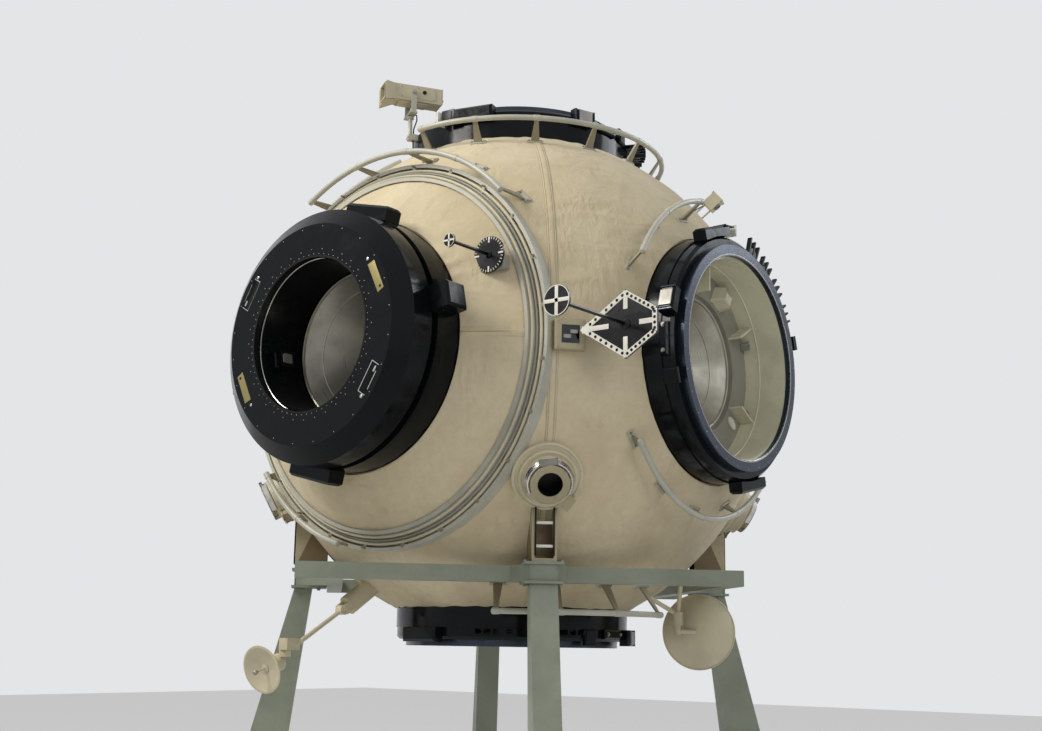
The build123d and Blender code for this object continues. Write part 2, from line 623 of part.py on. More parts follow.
# Stand legs: a head box on the beam's outer face, a tapered leg and a bolted foot plate
def stand_leg(azimuth):
    head_low = BEAM_TOP - BEAM_HIGH
    head_plan = Polyline((HEAD_IN, -HEAD_ROOT / 2), (HEAD_OUT, -HEAD_WIDE / 2), (HEAD_OUT, HEAD_WIDE / 2),
                         (HEAD_IN, HEAD_ROOT / 2), close=True)
    head = Pos(0, 0, head_low) * extrude(make_face(head_plan), BEAM_HIGH)
    plate_long = HEAD_OUT - HEAD_IN + HEAD_PLATE_LIP
    plate = Pos(HEAD_IN + plate_long / 2, 0, 0) * Box(plate_long, HEAD_PLATE_WIDE, HEAD_PLATE)
    plates = Pos(0, 0, BEAM_TOP + HEAD_PLATE / 2) * plate + Pos(0, 0, head_low - HEAD_PLATE / 2) * plate
    top_z = head_low - HEAD_PLATE
    top = Pos((LEG_TOP_IN + HEAD_OUT) / 2, 0, top_z) * Rectangle(HEAD_OUT - LEG_TOP_IN, LEG_WIDE)
    low = Pos((LEG_FOOT_IN + LEG_FOOT_OUT) / 2, 0, FOOT_THICK) * Rectangle(LEG_FOOT_OUT - LEG_FOOT_IN, LEG_WIDE)
    leg = loft([low, top])
    foot_at = (LEG_FOOT_IN + LEG_FOOT_OUT) / 2
    foot = Pos(foot_at, 0, FOOT_THICK / 2) * Box(FOOT_LONG, FOOT_WIDE, FOOT_THICK)
    for x in (-1, 1):
        for y in (-1, 1):
            foot -= Pos(foot_at + x * FOOT_BOLT_SQUARE / 2, y * FOOT_BOLT_SQUARE / 2, FOOT_THICK / 2) * Cylinder(
                FOOT_BOLT_R, FOOT_THICK)
    return at_azimuth(azimuth, head + plates + leg + foot)


# Television camera and its mast
def mast():
    shaft = Pos(MAST_RHO, 0, (MAST_FOOT + MAST_TOP) / 2) * Cylinder(MAST_R, MAST_TOP - MAST_FOOT)
    clamp_in = RIM_R + SEAT_GAP
    clamp = Pos((clamp_in + MAST_RHO) / 2, 0, MAST_FOOT + CLAMP_HIGH / 2) * Box(
        MAST_RHO - clamp_in + 2 * MAST_R, CLAMP_WIDE, CLAMP_HIGH)
    yoke = Pos(MAST_RHO, 0, MAST_TOP + FORK_ARM / 2) * Box(CLAMP_WIDE, FORK_GAP + 2 * FORK_ARM, FORK_ARM)
    body = shaft + clamp + yoke
    for side in (-1, 1):
        at = side * (FORK_GAP + FORK_ARM) / 2
        body += Pos(MAST_RHO, at, MAST_TOP + FORK_HIGH / 2) * Box(FORK_DEEP, FORK_ARM, FORK_HIGH)
        body += Pos(MAST_RHO, side * (FORK_GAP - FORK_PIN_IN) / 2, CAMERA_PIVOT) * Rot(90, 0, 0) * Cylinder(
            FORK_PIN_R, FORK_PIN_IN)
    body -= Cylinder(RIM_R + SEAT_GAP, 4 * MAST_TOP)
    return at_azimuth(MAST_AZ, Pos(0, 0, CENTRE_Z) * body)


def camera():
    shell = Box(CAMERA_LONG, CAMERA_WIDE, CAMERA_HIGH)
    hood = Pos((CAMERA_LONG - HOOD_DEEP) / 2, 0, 0) * Box(HOOD_DEEP, CAMERA_WIDE - 2 * CAMERA_SKIN,
                                                       CAMERA_HIGH - 2 * CAMERA_SKIN)
    lens = Pos(CAMERA_LONG / 2 - HOOD_DEEP, 0, 0) * Rot(0, 90, 0) * Cylinder(CAMERA_LENS_R, CAMERA_LENS_LONG)
    body = shell - hood + lens
    body -= Rot(90, 0, 0) * Cylinder(FORK_PIN_R + PIN_PLAY, CAMERA_WIDE)
    return at_azimuth(MAST_AZ, Pos(MAST_RHO, 0, CENTRE_Z + CAMERA_PIVOT) * body)


# Dish aerials
def bowl(radius, face_at, normal):
    """A shallow dish whose rim's centre is at a point, opening along a normal."""
    depth = radius * BOWL_DEPTH
    ball = (radius ** 2 + depth ** 2) / (2 * depth)
    cap = Pos(0, 0, ball - depth) * (Sphere(ball) - Sphere(ball - DISH_WALL))
    cut = Box(4 * ball, 4 * ball, 2 * depth, align=(Align.CENTER, Align.CENTER, Align.MAX))
    return Plane(origin=face_at, z_dir=normal).location * (cap & cut)


def aerial_left():
    """The left aerial: its padded root on the hull, its boom and its dish with the drum behind it."""
    root, shoulder, wrist = on_radius(LEFT_ROOT), on_radius(LEFT_SHOULDER), on_radius(LEFT_WRIST)
    dish_at = wrist + Vector(*LEFT_DISH_OFF)
    run = (wrist - shoulder).normalized()
    pin = run.cross(Vector(0, 0, 1)).normalized()
    base = clear_of_hull(tube(CENTRE + (root - CENTRE) * 0.9, shoulder - run * SHOULDER_R * 1.6, ROOT_R))
    fork = Plane(origin=shoulder, x_dir=pin, z_dir=run)
    for side in (-1, 1):
        ear = Pos(side * (SHOULDER_LONG / 2 + LUG_GAP + EAR_THICK / 2), 0, -SHOULDER_R * 0.8) * Box(
            EAR_THICK, SHOULDER_R * 2, SHOULDER_R * 1.8)
        base += fork.location * ear
    pin_long = SHOULDER_LONG + 2 * (LUG_GAP + EAR_THICK)
    base += fork.location * (Rot(0, 90, 0) * Cylinder(AERIAL_PIN_R, pin_long))
    boom = tube(shoulder, wrist, BOOM_R)
    boom += fork.location * (Rot(0, 90, 0) * Cylinder(SHOULDER_R, SHOULDER_LONG))
    boom -= fork.location * (Rot(0, 90, 0) * Cylinder(AERIAL_PIN_R + PIN_PLAY, SHOULDER_LONG))
    pivot = wrist + Vector(*LEFT_PIVOT_OFF)
    block = Box(WRIST_SIZE, WRIST_SIZE * 1.5, WRIST_SIZE, align=(Align.CENTER, Align.CENTER, Align.MIN))
    boom += Pos(*((wrist + pivot) / 2)) * Pos(0, 0, pivot.Z - (wrist.Z + pivot.Z) / 2) * block
    boom += Pos(*pivot) * Pos(0, 0, -PIVOT_LONG) * Cylinder(AERIAL_PIN_R, PIVOT_LONG + PIVOT_SINK, align=(
        Align.CENTER, Align.CENTER, Align.MIN))
    facing = Vector(*LEFT_FACING).normalized()
    depth = LEFT_DISH_R * BOWL_DEPTH
    drum_from = dish_at - facing * (depth + DRUM_SHAFT)
    dish = bowl(LEFT_DISH_R, dish_at, facing)
    dish += tube(drum_from, dish_at - facing * (depth - DISH_WALL / 2), SHAFT_R)
    dish += tube(drum_from - facing * DRUM_LONG, drum_from, DRUM_R)
    dish += tube(dish_at - facing * (depth - DISH_WALL / 2), dish_at + facing * FEED_OUT, FEED_R)
    sleeve = Pos(*pivot) * Pos(0, 0, -LUG_GAP) * Cylinder(WRIST_SIZE / 2, PIVOT_LONG, align=(
        Align.CENTER, Align.CENTER, Align.MAX))
    dish += sleeve
    dish -= Pos(*pivot) * Pos(0, 0, -LUG_GAP) * Cylinder(AERIAL_PIN_R + PIN_PLAY, PIVOT_LONG + LUG_GAP, align=(
        Align.CENTER, Align.CENTER, Align.MAX))
    return {"aerial_left_root": base, "aerial_left_boom": boom, "aerial_left_dish": dish}


def aerial_right():
    """The right aerial: two struts from the hull to a hub, and the dish that turns on it."""
    hub = on_radius(RIGHT_HUB)
    feet = [on_radius(foot) for foot in RIGHT_FEET]
    struts_up = [tube(foot, hub + Vector(0, 0, HUB_LONG / 2 + HUB_CAP / 2), BOOM_R) for foot in feet]
    cap = Pos(*hub) * Pos(0, 0, HUB_LONG / 2 + LUG_GAP) * Cylinder(HUB_R, HUB_CAP, align=(
        Align.CENTER, Align.CENTER, Align.MIN))
    pin = Pos(*hub) * Pos(0, 0, HUB_LONG / 2 + LUG_GAP + PIVOT_SINK) * Cylinder(
        AERIAL_PIN_R, HUB_LONG + LUG_GAP, align=(
        Align.CENTER, Align.CENTER, Align.MAX))
    frame = clear_of_hull(struts_up[0] + struts_up[1] + cap)
    frame -= Pos(*hub) * Pos(0, 0, HUB_LONG / 2 + LUG_GAP) * Cylinder(HUB_R + HUB_ROOM, HUB_LONG, align=(
        Align.CENTER, Align.CENTER, Align.MAX))
    frame += pin
    facing = Vector(*RIGHT_FACING).normalized()
    dish_at = hub + Vector(*RIGHT_DISH_OFF)
    back = dish_at - facing * (RIGHT_DISH_R * BOWL_DEPTH - DISH_WALL / 2)
    dish = bowl(RIGHT_DISH_R, dish_at, facing)
    arm_end = Vector(hub.X, hub.Y, back.Z)
    dish += tube(arm_end, back, BOOM_R)
    dish += Pos(*hub) * Cylinder(HUB_R, HUB_LONG)
    dish += tube(arm_end - Vector(0, 0, HANGER_R), hub, HANGER_R)
    dish -= Pos(*hub) * Cylinder(AERIAL_PIN_R + PIN_PLAY, HUB_LONG)
    return {"aerial_right_struts": frame, "aerial_right_dish": dish}


# Docking targets: a post from the hull, a dark back plate and a small disc held out in front
def docking_target(port, place, outline, rod_out, disc_r):
    axis = Vector(*PORTS[port][0])
    side = Vector(0, 0, 1).cross(axis)
    at = CENTRE + (side * place[0] + Vector(0, 0, 1) * place[1] + axis * place[2]) * HULL_R
    frame = Plane(origin=at, x_dir=side, z_dir=axis)
    plate = extrude(outline, TARGET_THICK)
    rod = Cylinder(TARGET_ROD_R, rod_out, align=(Align.CENTER, Align.CENTER, Align.MIN))
    disc = Pos(0, 0, rod_out) * Cylinder(disc_r, TARGET_THICK, align=(Align.CENTER, Align.CENTER, Align.MIN))
    foot = CENTRE + (at - CENTRE).normalized() * (HULL_R - TARGET_POST_R)
    post = tube(foot, at + axis * (TARGET_THICK / 2), TARGET_POST_R)
    return clear_of_hull(frame.location * (plate + rod + disc) + post)


def large_outline():
    """The large target's back plate: a long diamond with its inner point cut square."""
    return make_face(Polyline((-LARGE_TARGET_LEFT, 0), (0, -LARGE_TARGET_HALF),
                              (LARGE_TARGET_RIGHT, -LARGE_TARGET_EDGE), (LARGE_TARGET_RIGHT, LARGE_TARGET_EDGE),
                              (0, LARGE_TARGET_HALF), close=True))


# Lamp box and sensor box, both square to the hull
def lamp_box():
    body = Pos(0, 0, HULL_R) * Box(LAMP_SIZE, LAMP_SIZE, 2 * LAMP_HIGH)
    window = Pos(0, 0, HULL_R + LAMP_HIGH) * Box(LAMP_WINDOW, LAMP_WINDOW, 2 * LAMP_RECESS)
    ring_room = Cylinder(CABLE_RING_OUT + SEAT_GAP, CABLE_RING_TOP + SEAT_GAP,
                         align=(Align.CENTER, Align.CENTER, Align.MIN))
    return clear_of_hull(on_hull(LAMP_AZ, LAMP_EL, body - window)) - on_port("front", ring_room)


def sensor_box():
    body = Pos(0, 0, HULL_R + SENSOR_OUT) * Box(SENSOR_SIZE, SENSOR_SIZE, SENSOR_LONG)
    for side in (-1, 1):
        body += Pos(0, side * SENSOR_LEG_APART / 2, HULL_R) * Cylinder(SENSOR_LEG_R, SENSOR_OUT, align=(
            Align.CENTER, Align.CENTER, Align.MIN))
    return clear_of_hull(on_hull(SENSOR_AZ, SENSOR_EL, body))


parts = {}
parts.update(hull_panels())
parts["port_necks"] = Compound(children=[port_neck(name) for name in PORTS])
parts["hatch_seats"] = Compound(children=[hatch_seat(name) for name in PORTS])
for name in PORTS:
    fins = [] if PORTS[name][2] == "deep" else [ring_fins(name)]
    parts[f"docking_ring_{name}"] = Compound(children=[docking_ring(name)] + guide_blocks(name) + fins)
    parts[f"hatch_{name}"] = hatch(name)
parts["seal_rings"] = Compound(children=[seal_ring(name) for name in PORTS])
short_ports = [name for name in PORTS if PORTS[name][2] == "short"]
parts["throat_liners"] = Compound(children=[throat_liner(name) for name in short_ports])
parts["cable_ring"] = cable_ring()
for node, rows in RAILS.items():
    parts[node] = handrails(rows)
parts["perforated_rib"] = rib()
parts["lifting_bosses"] = bosses()
parts["support_struts"] = struts()
parts.update(stand_beams())
for name, azimuth in (("front", 45), ("right", 135), ("rear", 225), ("left", 315)):
    parts[f"stand_leg_{name}"] = stand_leg(azimuth)
parts["camera_mast"] = mast()
parts["television_camera"] = camera()
parts.update(aerial_left())
parts.update(aerial_right())
for name in ("front", "rear"):
    parts[f"target_large_{name}"] = docking_target(name, LARGE_TARGET_AT, large_outline(), LARGE_TARGET_ROD,
                                                   LARGE_DISC_R)
    parts[f"target_small_{name}"] = docking_target(name, SMALL_TARGET_AT, Circle(SMALL_TARGET_R),
                                                   SMALL_TARGET_ROD, SMALL_DISC_R)
parts["lamp_box"] = lamp_box()
parts["sensor_box"] = sensor_box()

os.makedirs("parts", exist_ok=True)
for node, shape in parts.items():
    export_step(shape, f"parts/{node}.step")
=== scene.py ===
"""Looks for a spherical docking node on its stand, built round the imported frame.

Everything is in metres with +Z up. The front port looks along -Y and the right port along +X.
A port's own place has X to its right as seen from outside, Y up (or along +Y for the top and
bottom ports) and Z outwards, with its zero at the hull's centre.
"""

from __future__ import annotations

import logging
import math
from dataclasses import dataclass
from enum import Enum
from typing import Any, Callable, Iterable, Sequence

import bmesh
import bpy
from mathutils import Matrix, Vector, noise

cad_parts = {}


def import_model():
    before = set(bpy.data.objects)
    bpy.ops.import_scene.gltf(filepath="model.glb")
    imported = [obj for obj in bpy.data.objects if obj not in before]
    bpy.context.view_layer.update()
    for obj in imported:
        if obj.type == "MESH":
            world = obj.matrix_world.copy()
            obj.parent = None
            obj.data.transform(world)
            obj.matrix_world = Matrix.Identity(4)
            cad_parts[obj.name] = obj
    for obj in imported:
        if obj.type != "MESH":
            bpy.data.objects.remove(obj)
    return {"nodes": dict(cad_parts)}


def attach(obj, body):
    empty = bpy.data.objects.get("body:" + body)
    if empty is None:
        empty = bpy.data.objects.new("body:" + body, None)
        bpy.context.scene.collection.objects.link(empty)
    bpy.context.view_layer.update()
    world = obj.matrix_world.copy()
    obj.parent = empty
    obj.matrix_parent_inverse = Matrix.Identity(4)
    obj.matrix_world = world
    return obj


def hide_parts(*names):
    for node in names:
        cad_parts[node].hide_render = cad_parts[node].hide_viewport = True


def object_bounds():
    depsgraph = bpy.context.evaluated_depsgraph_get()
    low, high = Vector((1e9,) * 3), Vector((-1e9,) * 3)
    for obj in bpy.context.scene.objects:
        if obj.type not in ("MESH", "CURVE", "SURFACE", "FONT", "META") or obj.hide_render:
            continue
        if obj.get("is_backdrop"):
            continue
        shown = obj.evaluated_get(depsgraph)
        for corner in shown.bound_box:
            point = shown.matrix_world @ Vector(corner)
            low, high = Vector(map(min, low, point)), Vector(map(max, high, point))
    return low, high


LOG = logging.getLogger("docking_node")

HULL_R = 1.65
CENTRE = Vector((0.0, 0.0, 3.3))
CABIN_R = HULL_R - 0.03

# How far the ring's face of a deep and of a short port is from the hull's centre.
DEEP_FACE = 1.919
SHORT_FACE = 1.714

# What lies farther from the hull's centre along Y belongs to a deep port.
DEEP_Y = 1.3

# A strut's hollow, which takes a darker brown as painted shade, is the part of it nearer to the hull's axis than this,
# and above this height.
RECESS_R = 1.36
RECESS_LOW = 2.08

HOME = "module"
UP = Vector((0.0, 0.0, 1.0))
HERE = Matrix.Identity(4)
TO_X = Matrix.Rotation(math.pi / 2, 4, "Y")
FROM_X = Matrix.Rotation(-math.pi / 2, 4, "Y")
QUARTERS = (45.0, 135.0, 225.0, 315.0)
CORNERS = ((-1, -1), (-1, 1), (1, -1), (1, 1))

# A lathe's profile starts this far from its axis, so that its first ring of corners stays a ring.
TIP_R = 0.0002

# Half the width below which a bolt is made as a small domed screw.
DOMED = 0.005

Outline = Sequence[tuple[float, float]]
Triple = tuple[float, float, float]


class Port(Enum):
    """A port's outward axis and whether it is one of the two deep ports."""

    FRONT = ((0, -1, 0), True)
    REAR = ((0, 1, 0), True)
    RIGHT = ((1, 0, 0), False)
    LEFT = ((-1, 0, 0), False)
    TOP = ((0, 0, 1), False)
    BOTTOM = ((0, 0, -1), False)

    @property
    def key(self) -> str:
        """The port's name as the nodes spell it."""
        return self.name.lower()

    @property
    def axis(self) -> Vector:
        """The port's outward direction."""
        return Vector(self.value[0])

    @property
    def deep(self) -> bool:
        """Whether this is a front or rear port, with the long ring."""
        return self.value[1]

    @property
    def place(self) -> Matrix:
        """The port's own place in the row's frame."""
        axis = self.axis
        side = UP.cross(axis)
        if side.length < 0.5:
            side = Vector((1.0, 0.0, 0.0))
        rise = axis.cross(side)
        turn = Matrix((side, rise, axis)).transposed().to_4x4()
        return Matrix.Translation(CENTRE) @ turn


def heading(azimuth: float, elevation: float = 0.0) -> Vector:
    """Direction from the hull's centre.

    Args:
        azimuth: degrees from -Y towards +X.
        elevation: degrees above the equator.

    Returns:
        The unit direction.
    """
    a, e = math.radians(azimuth), math.radians(elevation)
    return Vector((math.sin(a) * math.cos(e), -math.cos(a) * math.cos(e), math.sin(e)))


def facing(spot: Vector, out: Vector, across: Vector) -> Matrix:
    """Place with Z along out and X near across.

    Args:
        spot: the place's zero.
        out: its Z direction.
        across: a direction that its X follows as nearly as it can.

    Returns:
        The place as a matrix.
    """
    z = out.normalized()
    y = z.cross(across).normalized()
    x = y.cross(z)
    return Matrix.Translation(spot) @ Matrix((x, y, z)).transposed().to_4x4()


def on_hull(azimuth: float, elevation: float) -> Matrix:
    """Place on the hull's surface with Z along its normal and X upwards.

    Args:
        azimuth: degrees from -Y towards +X.
        elevation: degrees above the equator.

    Returns:
        The place as a matrix.
    """
    normal = heading(azimuth, elevation)
    return facing(CENTRE + normal * HULL_R, normal, UP)


class Value:
    """A socket of a shader that takes part in Python arithmetic."""

    def __init__(self, paint: "Paint", socket: bpy.types.NodeSocket) -> None:
        """Wrap one output socket of a paint's nodes."""
        self.paint = paint
        self.socket = socket

    def __add__(self, other: "Value | float") -> "Value":
        """Sum."""
        return self.paint.maths("ADD", self, other)

    def __sub__(self, other: "Value | float") -> "Value":
        """Difference."""
        return self.paint.maths("SUBTRACT", self, other)

    def __rsub__(self, other: "Value | float") -> "Value":
        """Difference from a number."""
        return self.paint.maths("SUBTRACT", other, self)

    def __mul__(self, other: "Value | float") -> "Value":
        """Product."""
        return self.paint.maths("MULTIPLY", self, other)

    def __pow__(self, other: "Value | float") -> "Value":
        """Power."""
        return self.paint.maths("POWER", self, other)

    def __gt__(self, other: "Value | float") -> "Value":
        """One where this is larger, else zero."""
        return self.paint.maths("GREATER_THAN", self, other)

    def __lt__(self, other: "Value | float") -> "Value":
        """One where this is smaller, else zero."""
        return self.paint.maths("LESS_THAN", self, other)

    def __abs__(self) -> "Value":
        """Size without its sign."""
        return self.paint.maths("ABSOLUTE", self)

    def most(self, other: "Value | float") -> "Value":
        """The larger of two."""
        return self.paint.maths("MAXIMUM", self, other)

    def wave(self, other: "Value | float") -> "Value":
        """What is left after division, always positive."""
        return self.paint.maths("FLOORED_MODULO", self, other)

    def ramp(self, low: float, high: float) -> "Value":
        """Smooth step.

        Args:
            low: where the step is zero.
            high: where it is one; it may be below low.

        Returns:
            The value from 0 to 1.
        """
        node = self.paint.node(
            "ShaderNodeMapRange",
            {"interpolation_type": "SMOOTHSTEP"},
            {"Value": self, "From Min": low, "From Max": high},
        )
        return Value(self.paint, node.outputs[0])


class Paint:
    """One material while its nodes are being laid."""

    def __init__(self, name: str) -> None:
        """Start a material with a bare Principled shader.

        Args:
            name: the material's name.
        """
        self.material = bpy.data.materials.new(name)
        self.material.use_nodes = True
        self.tree = self.material.node_tree
        self.tree.nodes.clear()
        self.output = self.tree.nodes.new("ShaderNodeOutputMaterial")
        self.shader = self.tree.nodes.new("ShaderNodeBsdfPrincipled")
        self.tree.links.new(self.shader.outputs[0], self.output.inputs[0])
        self.coordinates: bpy.types.NodeSocket | None = None

    def node(
        self,
        kind: str,
        settings: dict[str, Any] | None = None,
        inputs: dict[str | int, Any] | None = None,
    ) -> bpy.types.Node:
        """Add any node.

        Args:
            kind: the node's type name.
            settings: its properties.
            inputs: values or links of its sockets, by name or number.

        Returns:
            The node.
        """
        node = self.tree.nodes.new(kind)
        for key, value in (settings or {}).items():
            setattr(node, key, value)
        for key, value in (inputs or {}).items():
            self.feed(node.inputs[key], value)
        return node

    def feed(self, socket: bpy.types.NodeSocket, value: Any) -> None:
        """Set a socket, or link it.

        Args:
            socket: the input socket.
            value: a number, colour, Value or output socket.
        """
        if isinstance(value, Value):
            value = value.socket
        if isinstance(value, bpy.types.NodeSocket):
            self.tree.links.new(value, socket)
        elif isinstance(value, (tuple, list, Vector)) and socket.type == "RGBA":
            socket.default_value = (*tuple(value)[:3], 1.0)
        else:
            socket.default_value = value

    def maths(self, operation: str, left: Any, right: Any = 0.0) -> Value:
        """Add a Math node.

        Args:
            operation: the node's operation.
            left: its first value.
            right: its second value.

        Returns:
            The result.
        """
        node = self.node("ShaderNodeMath", {"operation": operation}, {0: left, 1: right})
        return Value(self, node.outputs[0])

    def where(self) -> bpy.types.NodeSocket:
        """Object coordinates, which ride with the piece."""
        if self.coordinates is None:
            self.coordinates = self.node("ShaderNodeTexCoord").outputs["Object"]
        return self.coordinates

    def axes(self) -> tuple[Value, Value, Value]:
        """Object coordinates as three values."""
        node = self.node("ShaderNodeSeparateXYZ", None, {0: self.where()})
        return Value(self, node.outputs[0]), Value(self, node.outputs[1]), Value(self, node.outputs[2])

    def stretched(self, scale: Triple) -> bpy.types.NodeSocket:
        """Object coordinates stretched along the axes.

        Args:
            scale: the factor on each axis.

        Returns:
            The stretched coordinates.
        """
        node = self.node("ShaderNodeMapping", None, {"Vector": self.where(), "Scale": scale})
        return node.outputs[0]

    def cloud(
        self,
        scale: float,
        detail: float = 3.0,
        rough: float = 0.55,
        at: bpy.types.NodeSocket | None = None,
        bend: float = 0.0,
    ) -> Value:
        """Noise from 0 to 1.

        Args:
            scale: cells in a metre.
            detail: octaves.
            rough: how strong the finer octaves are.
            at: coordinates, or the object's own.
            bend: distortion.

        Returns:
            The noise.
        """
        node = self.node(
            "ShaderNodeTexNoise",
            None,
            {
                "Vector": at or self.where(),
                "Scale": scale,
                "Detail": detail,
                "Roughness": rough,
                "Distortion": bend,
            },
        )
        return Value(self, node.outputs[0])

    def blend(self, factor: Any, one: Any, two: Any) -> bpy.types.NodeSocket:
        """Mix two colours.

        Args:
            factor: 0 for one and 1 for two.
            one: a colour.
            two: a colour.

        Returns:
            The mixed colour.
        """
        node = self.node("ShaderNodeMix", {"data_type": "RGBA"}, {0: factor, 6: one, 7: two})
        return node.outputs[2]

    def bump(
        self, height: Any, distance: float, strength: float = 1.0, under: Any = None
    ) -> bpy.types.NodeSocket:
        """Turn a height into a normal.

        Args:
            height: the height, 0 to 1.
            distance: metres for a height of 1.
            strength: how strongly it shows.
            under: another bump's result below it.

        Returns:
            The normal.
        """
        inputs = {"Height": height, "Distance": distance, "Strength": strength}
        if under is not None:
            inputs["Normal"] = under
        return self.node("ShaderNodeBump", None, inputs).outputs[0]

    def finish(self, **sockets: Any) -> bpy.types.Material:
        """Set the shader's sockets and hand over the material.

        Args:
            **sockets: values by socket name, with _ for a space.

        Returns:
            The material.
        """
        for key, value in sockets.items():
            self.feed(self.shader.inputs[key.replace("_", " ")], value)
        return self.material


def linear(red: int, green: int, blue: int) -> Triple:
    """A colour as a shader wants it.

    Args:
        red: 0 to 255 as seen on a screen.
        green: the same.
        blue: the same.

    Returns:
        The linear colour.
    """

    def one(level: int) -> float:
        """One channel of it."""
        share = level / 255
        return share / 12.92 if share <= 0.04045 else ((share + 0.055) / 1.055) ** 2.4

    return one(red), one(green), one(blue)


@dataclass(frozen=True)
class Blanket:
    """Woven cream cloth with lapped seams, stitches, creases, a little soiling and painted shade towards the bottom.
    """

    light: Triple = linear(216, 202, 170)
    dark: Triple = linear(198, 183, 149)
    # Colour of the stains, of the painted shade towards the bottom, and of the darker lines at the lap edges and the
    # belt seam.
    soil: Triple = linear(158, 140, 108)
    thread: Triple = linear(158, 142, 112)
    stitch_row: float = 0.0166
    stitch_pitch: float = 0.014
    stitch_gap: float = 0.004
    lap: float = 0.0275
    belt_reach: float = 1.0
    fold_width: float = 5.0

    def ridges(self, paint: Paint, scale: Triple) -> Value:
        """Long soft ridges where stretched noise crosses its middle.

        Args:
            paint: the material being laid.
            scale: how the noise is stretched on each axis.

        Returns:
            The ridges' height, one at most.
        """
        return 1 - abs(paint.cloud(1.0, 3.0, 0.5, paint.stretched(scale), 0.4) - 0.5) * self.fold_width

    def material(self) -> bpy.types.Material:
        """Build the material."""
        paint = Paint("blanket_cloth")
        x, y, z = paint.axes()
        height = z - CENTRE.z
        meridian = abs(abs(x) - abs(y)) * (1 / math.sqrt(2))
        broad = paint.cloud(1.3, 4.0, 0.6)
        fine = paint.cloud(26.0, 3.0, 0.6)
        tone = paint.blend(broad.ramp(0.36, 0.66), self.light, self.dark)
        tone = paint.blend(fine.ramp(0.35, 0.75) * 0.35, tone, self.dark)
        # Painted shade: blotchy darkening over the lower hull, where less light falls.
        low = height.ramp(-0.3, -1.6) * paint.cloud(2.4, 5.0, 0.65).ramp(0.3, 0.75)
        tone = paint.blend(low * 0.55, tone, self.soil)
        stain = paint.cloud(3.7, 6.0, 0.7).ramp(0.6, 0.78) * 0.4
        tone = paint.blend(stain, tone, self.soil)
        stitches = abs(meridian - self.stitch_row).ramp(0.0035, 0.0015)
        dash = (height + 9.0).wave(self.stitch_pitch) > self.stitch_gap
        tone = paint.blend(stitches * dash * 0.75, tone, self.thread)
        # A darker line just outside the edge of each lapped strip.
        edge = abs(meridian - self.lap).ramp(0.003, 0.0) * 0.6
        tone = paint.blend(edge, tone, self.soil)
        # A darker line along the belt seam at the equator, on the front half.
        reach = abs(x).ramp(self.belt_reach + 0.02, self.belt_reach - 0.02)
        belt = abs(height).ramp(0.006, 0.001) * reach * (y < 0.0)
        tone = paint.blend(belt * 0.6, tone, self.soil)
        weave = paint.cloud(620.0, 2.0, 0.5)
        crease = paint.cloud(9.0, 5.0, 0.62, bend=0.6)
        small = paint.cloud(42.0, 4.0, 0.6)
        upright = self.ridges(paint, (9.0, 9.0, 2.2))
        level = self.ridges(paint, (2.6, 2.6, 8.0))
        folds = upright.most(0.0) * paint.cloud(2.1, 2.0, 0.5).ramp(0.45, 0.7)
        folds = folds + level.most(0.0) * paint.cloud(1.7, 2.0, 0.5).ramp(0.5, 0.72)
        normal = paint.bump(crease, 0.015, 0.6)
        normal = paint.bump(folds, 0.008, 0.65, normal)
        normal = paint.bump(small, 0.0024, 0.55, normal)
        normal = paint.bump(weave, 0.0006, 0.5, normal)
        normal = paint.bump(1 - stitches * 0.8 - belt, 0.003, 0.6, normal)
        return paint.finish(
            Base_Color=tone,
            Roughness=fine.ramp(0.2, 0.8) * 0.14 + 0.76,
            Normal=normal,
            Sheen_Weight=0.15,
            Specular_IOR_Level=0.25,
        )


@dataclass(frozen=True)
class Enamel:
    """Brushed-on paint with scuffs, thin dust and slight orange peel."""

    name: str
    colour: Triple
    worn: Triple
    rough: float = 0.45
    wear: float = 0.25
    peel: float = 0.0006
    coat: float = 0.0

    def material(self) -> bpy.types.Material:
        """Build the material."""
        paint = Paint(self.name)
        broad = paint.cloud(3.0, 4.0, 0.6)
        scuff = paint.cloud(34.0, 6.0, 0.72, bend=0.4)
        fine = paint.cloud(260.0, 2.0, 0.5)
        shade = tuple(c * 0.82 for c in self.colour)
        tone = paint.blend(broad.ramp(0.35, 0.7), self.colour, shade)
        mark = scuff.ramp(0.58, 0.72) * self.wear
        tone = paint.blend(mark, tone, self.worn)
        normal = paint.bump(fine, self.peel, 0.35)
        normal = paint.bump(broad, 0.004, 0.2, normal)
        return paint.finish(
            Base_Color=tone,
            Roughness=broad.ramp(0.3, 0.7) * 0.12 + mark * 0.2 + (self.rough - 0.06),
            Normal=normal,
            Coat_Weight=self.coat,
        )


@dataclass(frozen=True)
class BlackGloss:
    """Deep black enamel whose slow waves bend its reflections, with finger marks and dust."""

    name: str = "ring_black_gloss"
    colour: Triple = (0.0036, 0.0050, 0.0058)
    rough: float = 0.10
    shine: float = 0.13

    def material(self) -> bpy.types.Material:
        """Build the material."""
        paint = Paint(self.name)
        smear = paint.cloud(7.0, 5.0, 0.65, bend=0.8)
        dust = paint.cloud(60.0, 5.0, 0.7)
        waves = paint.cloud(4.5, 2.0, 0.5)
        tone = paint.blend(dust.ramp(0.55, 0.85) * 0.16, self.colour, (0.03, 0.034, 0.036))
        normal = paint.bump(waves, 0.006, 0.35)
        normal = paint.bump(dust, 0.0004, 0.3, normal)
        return paint.finish(
            Base_Color=tone,
            Roughness=smear.ramp(0.35, 0.75) * 0.2 + self.rough,
            Normal=normal,
            Specular_IOR_Level=self.shine,
        )


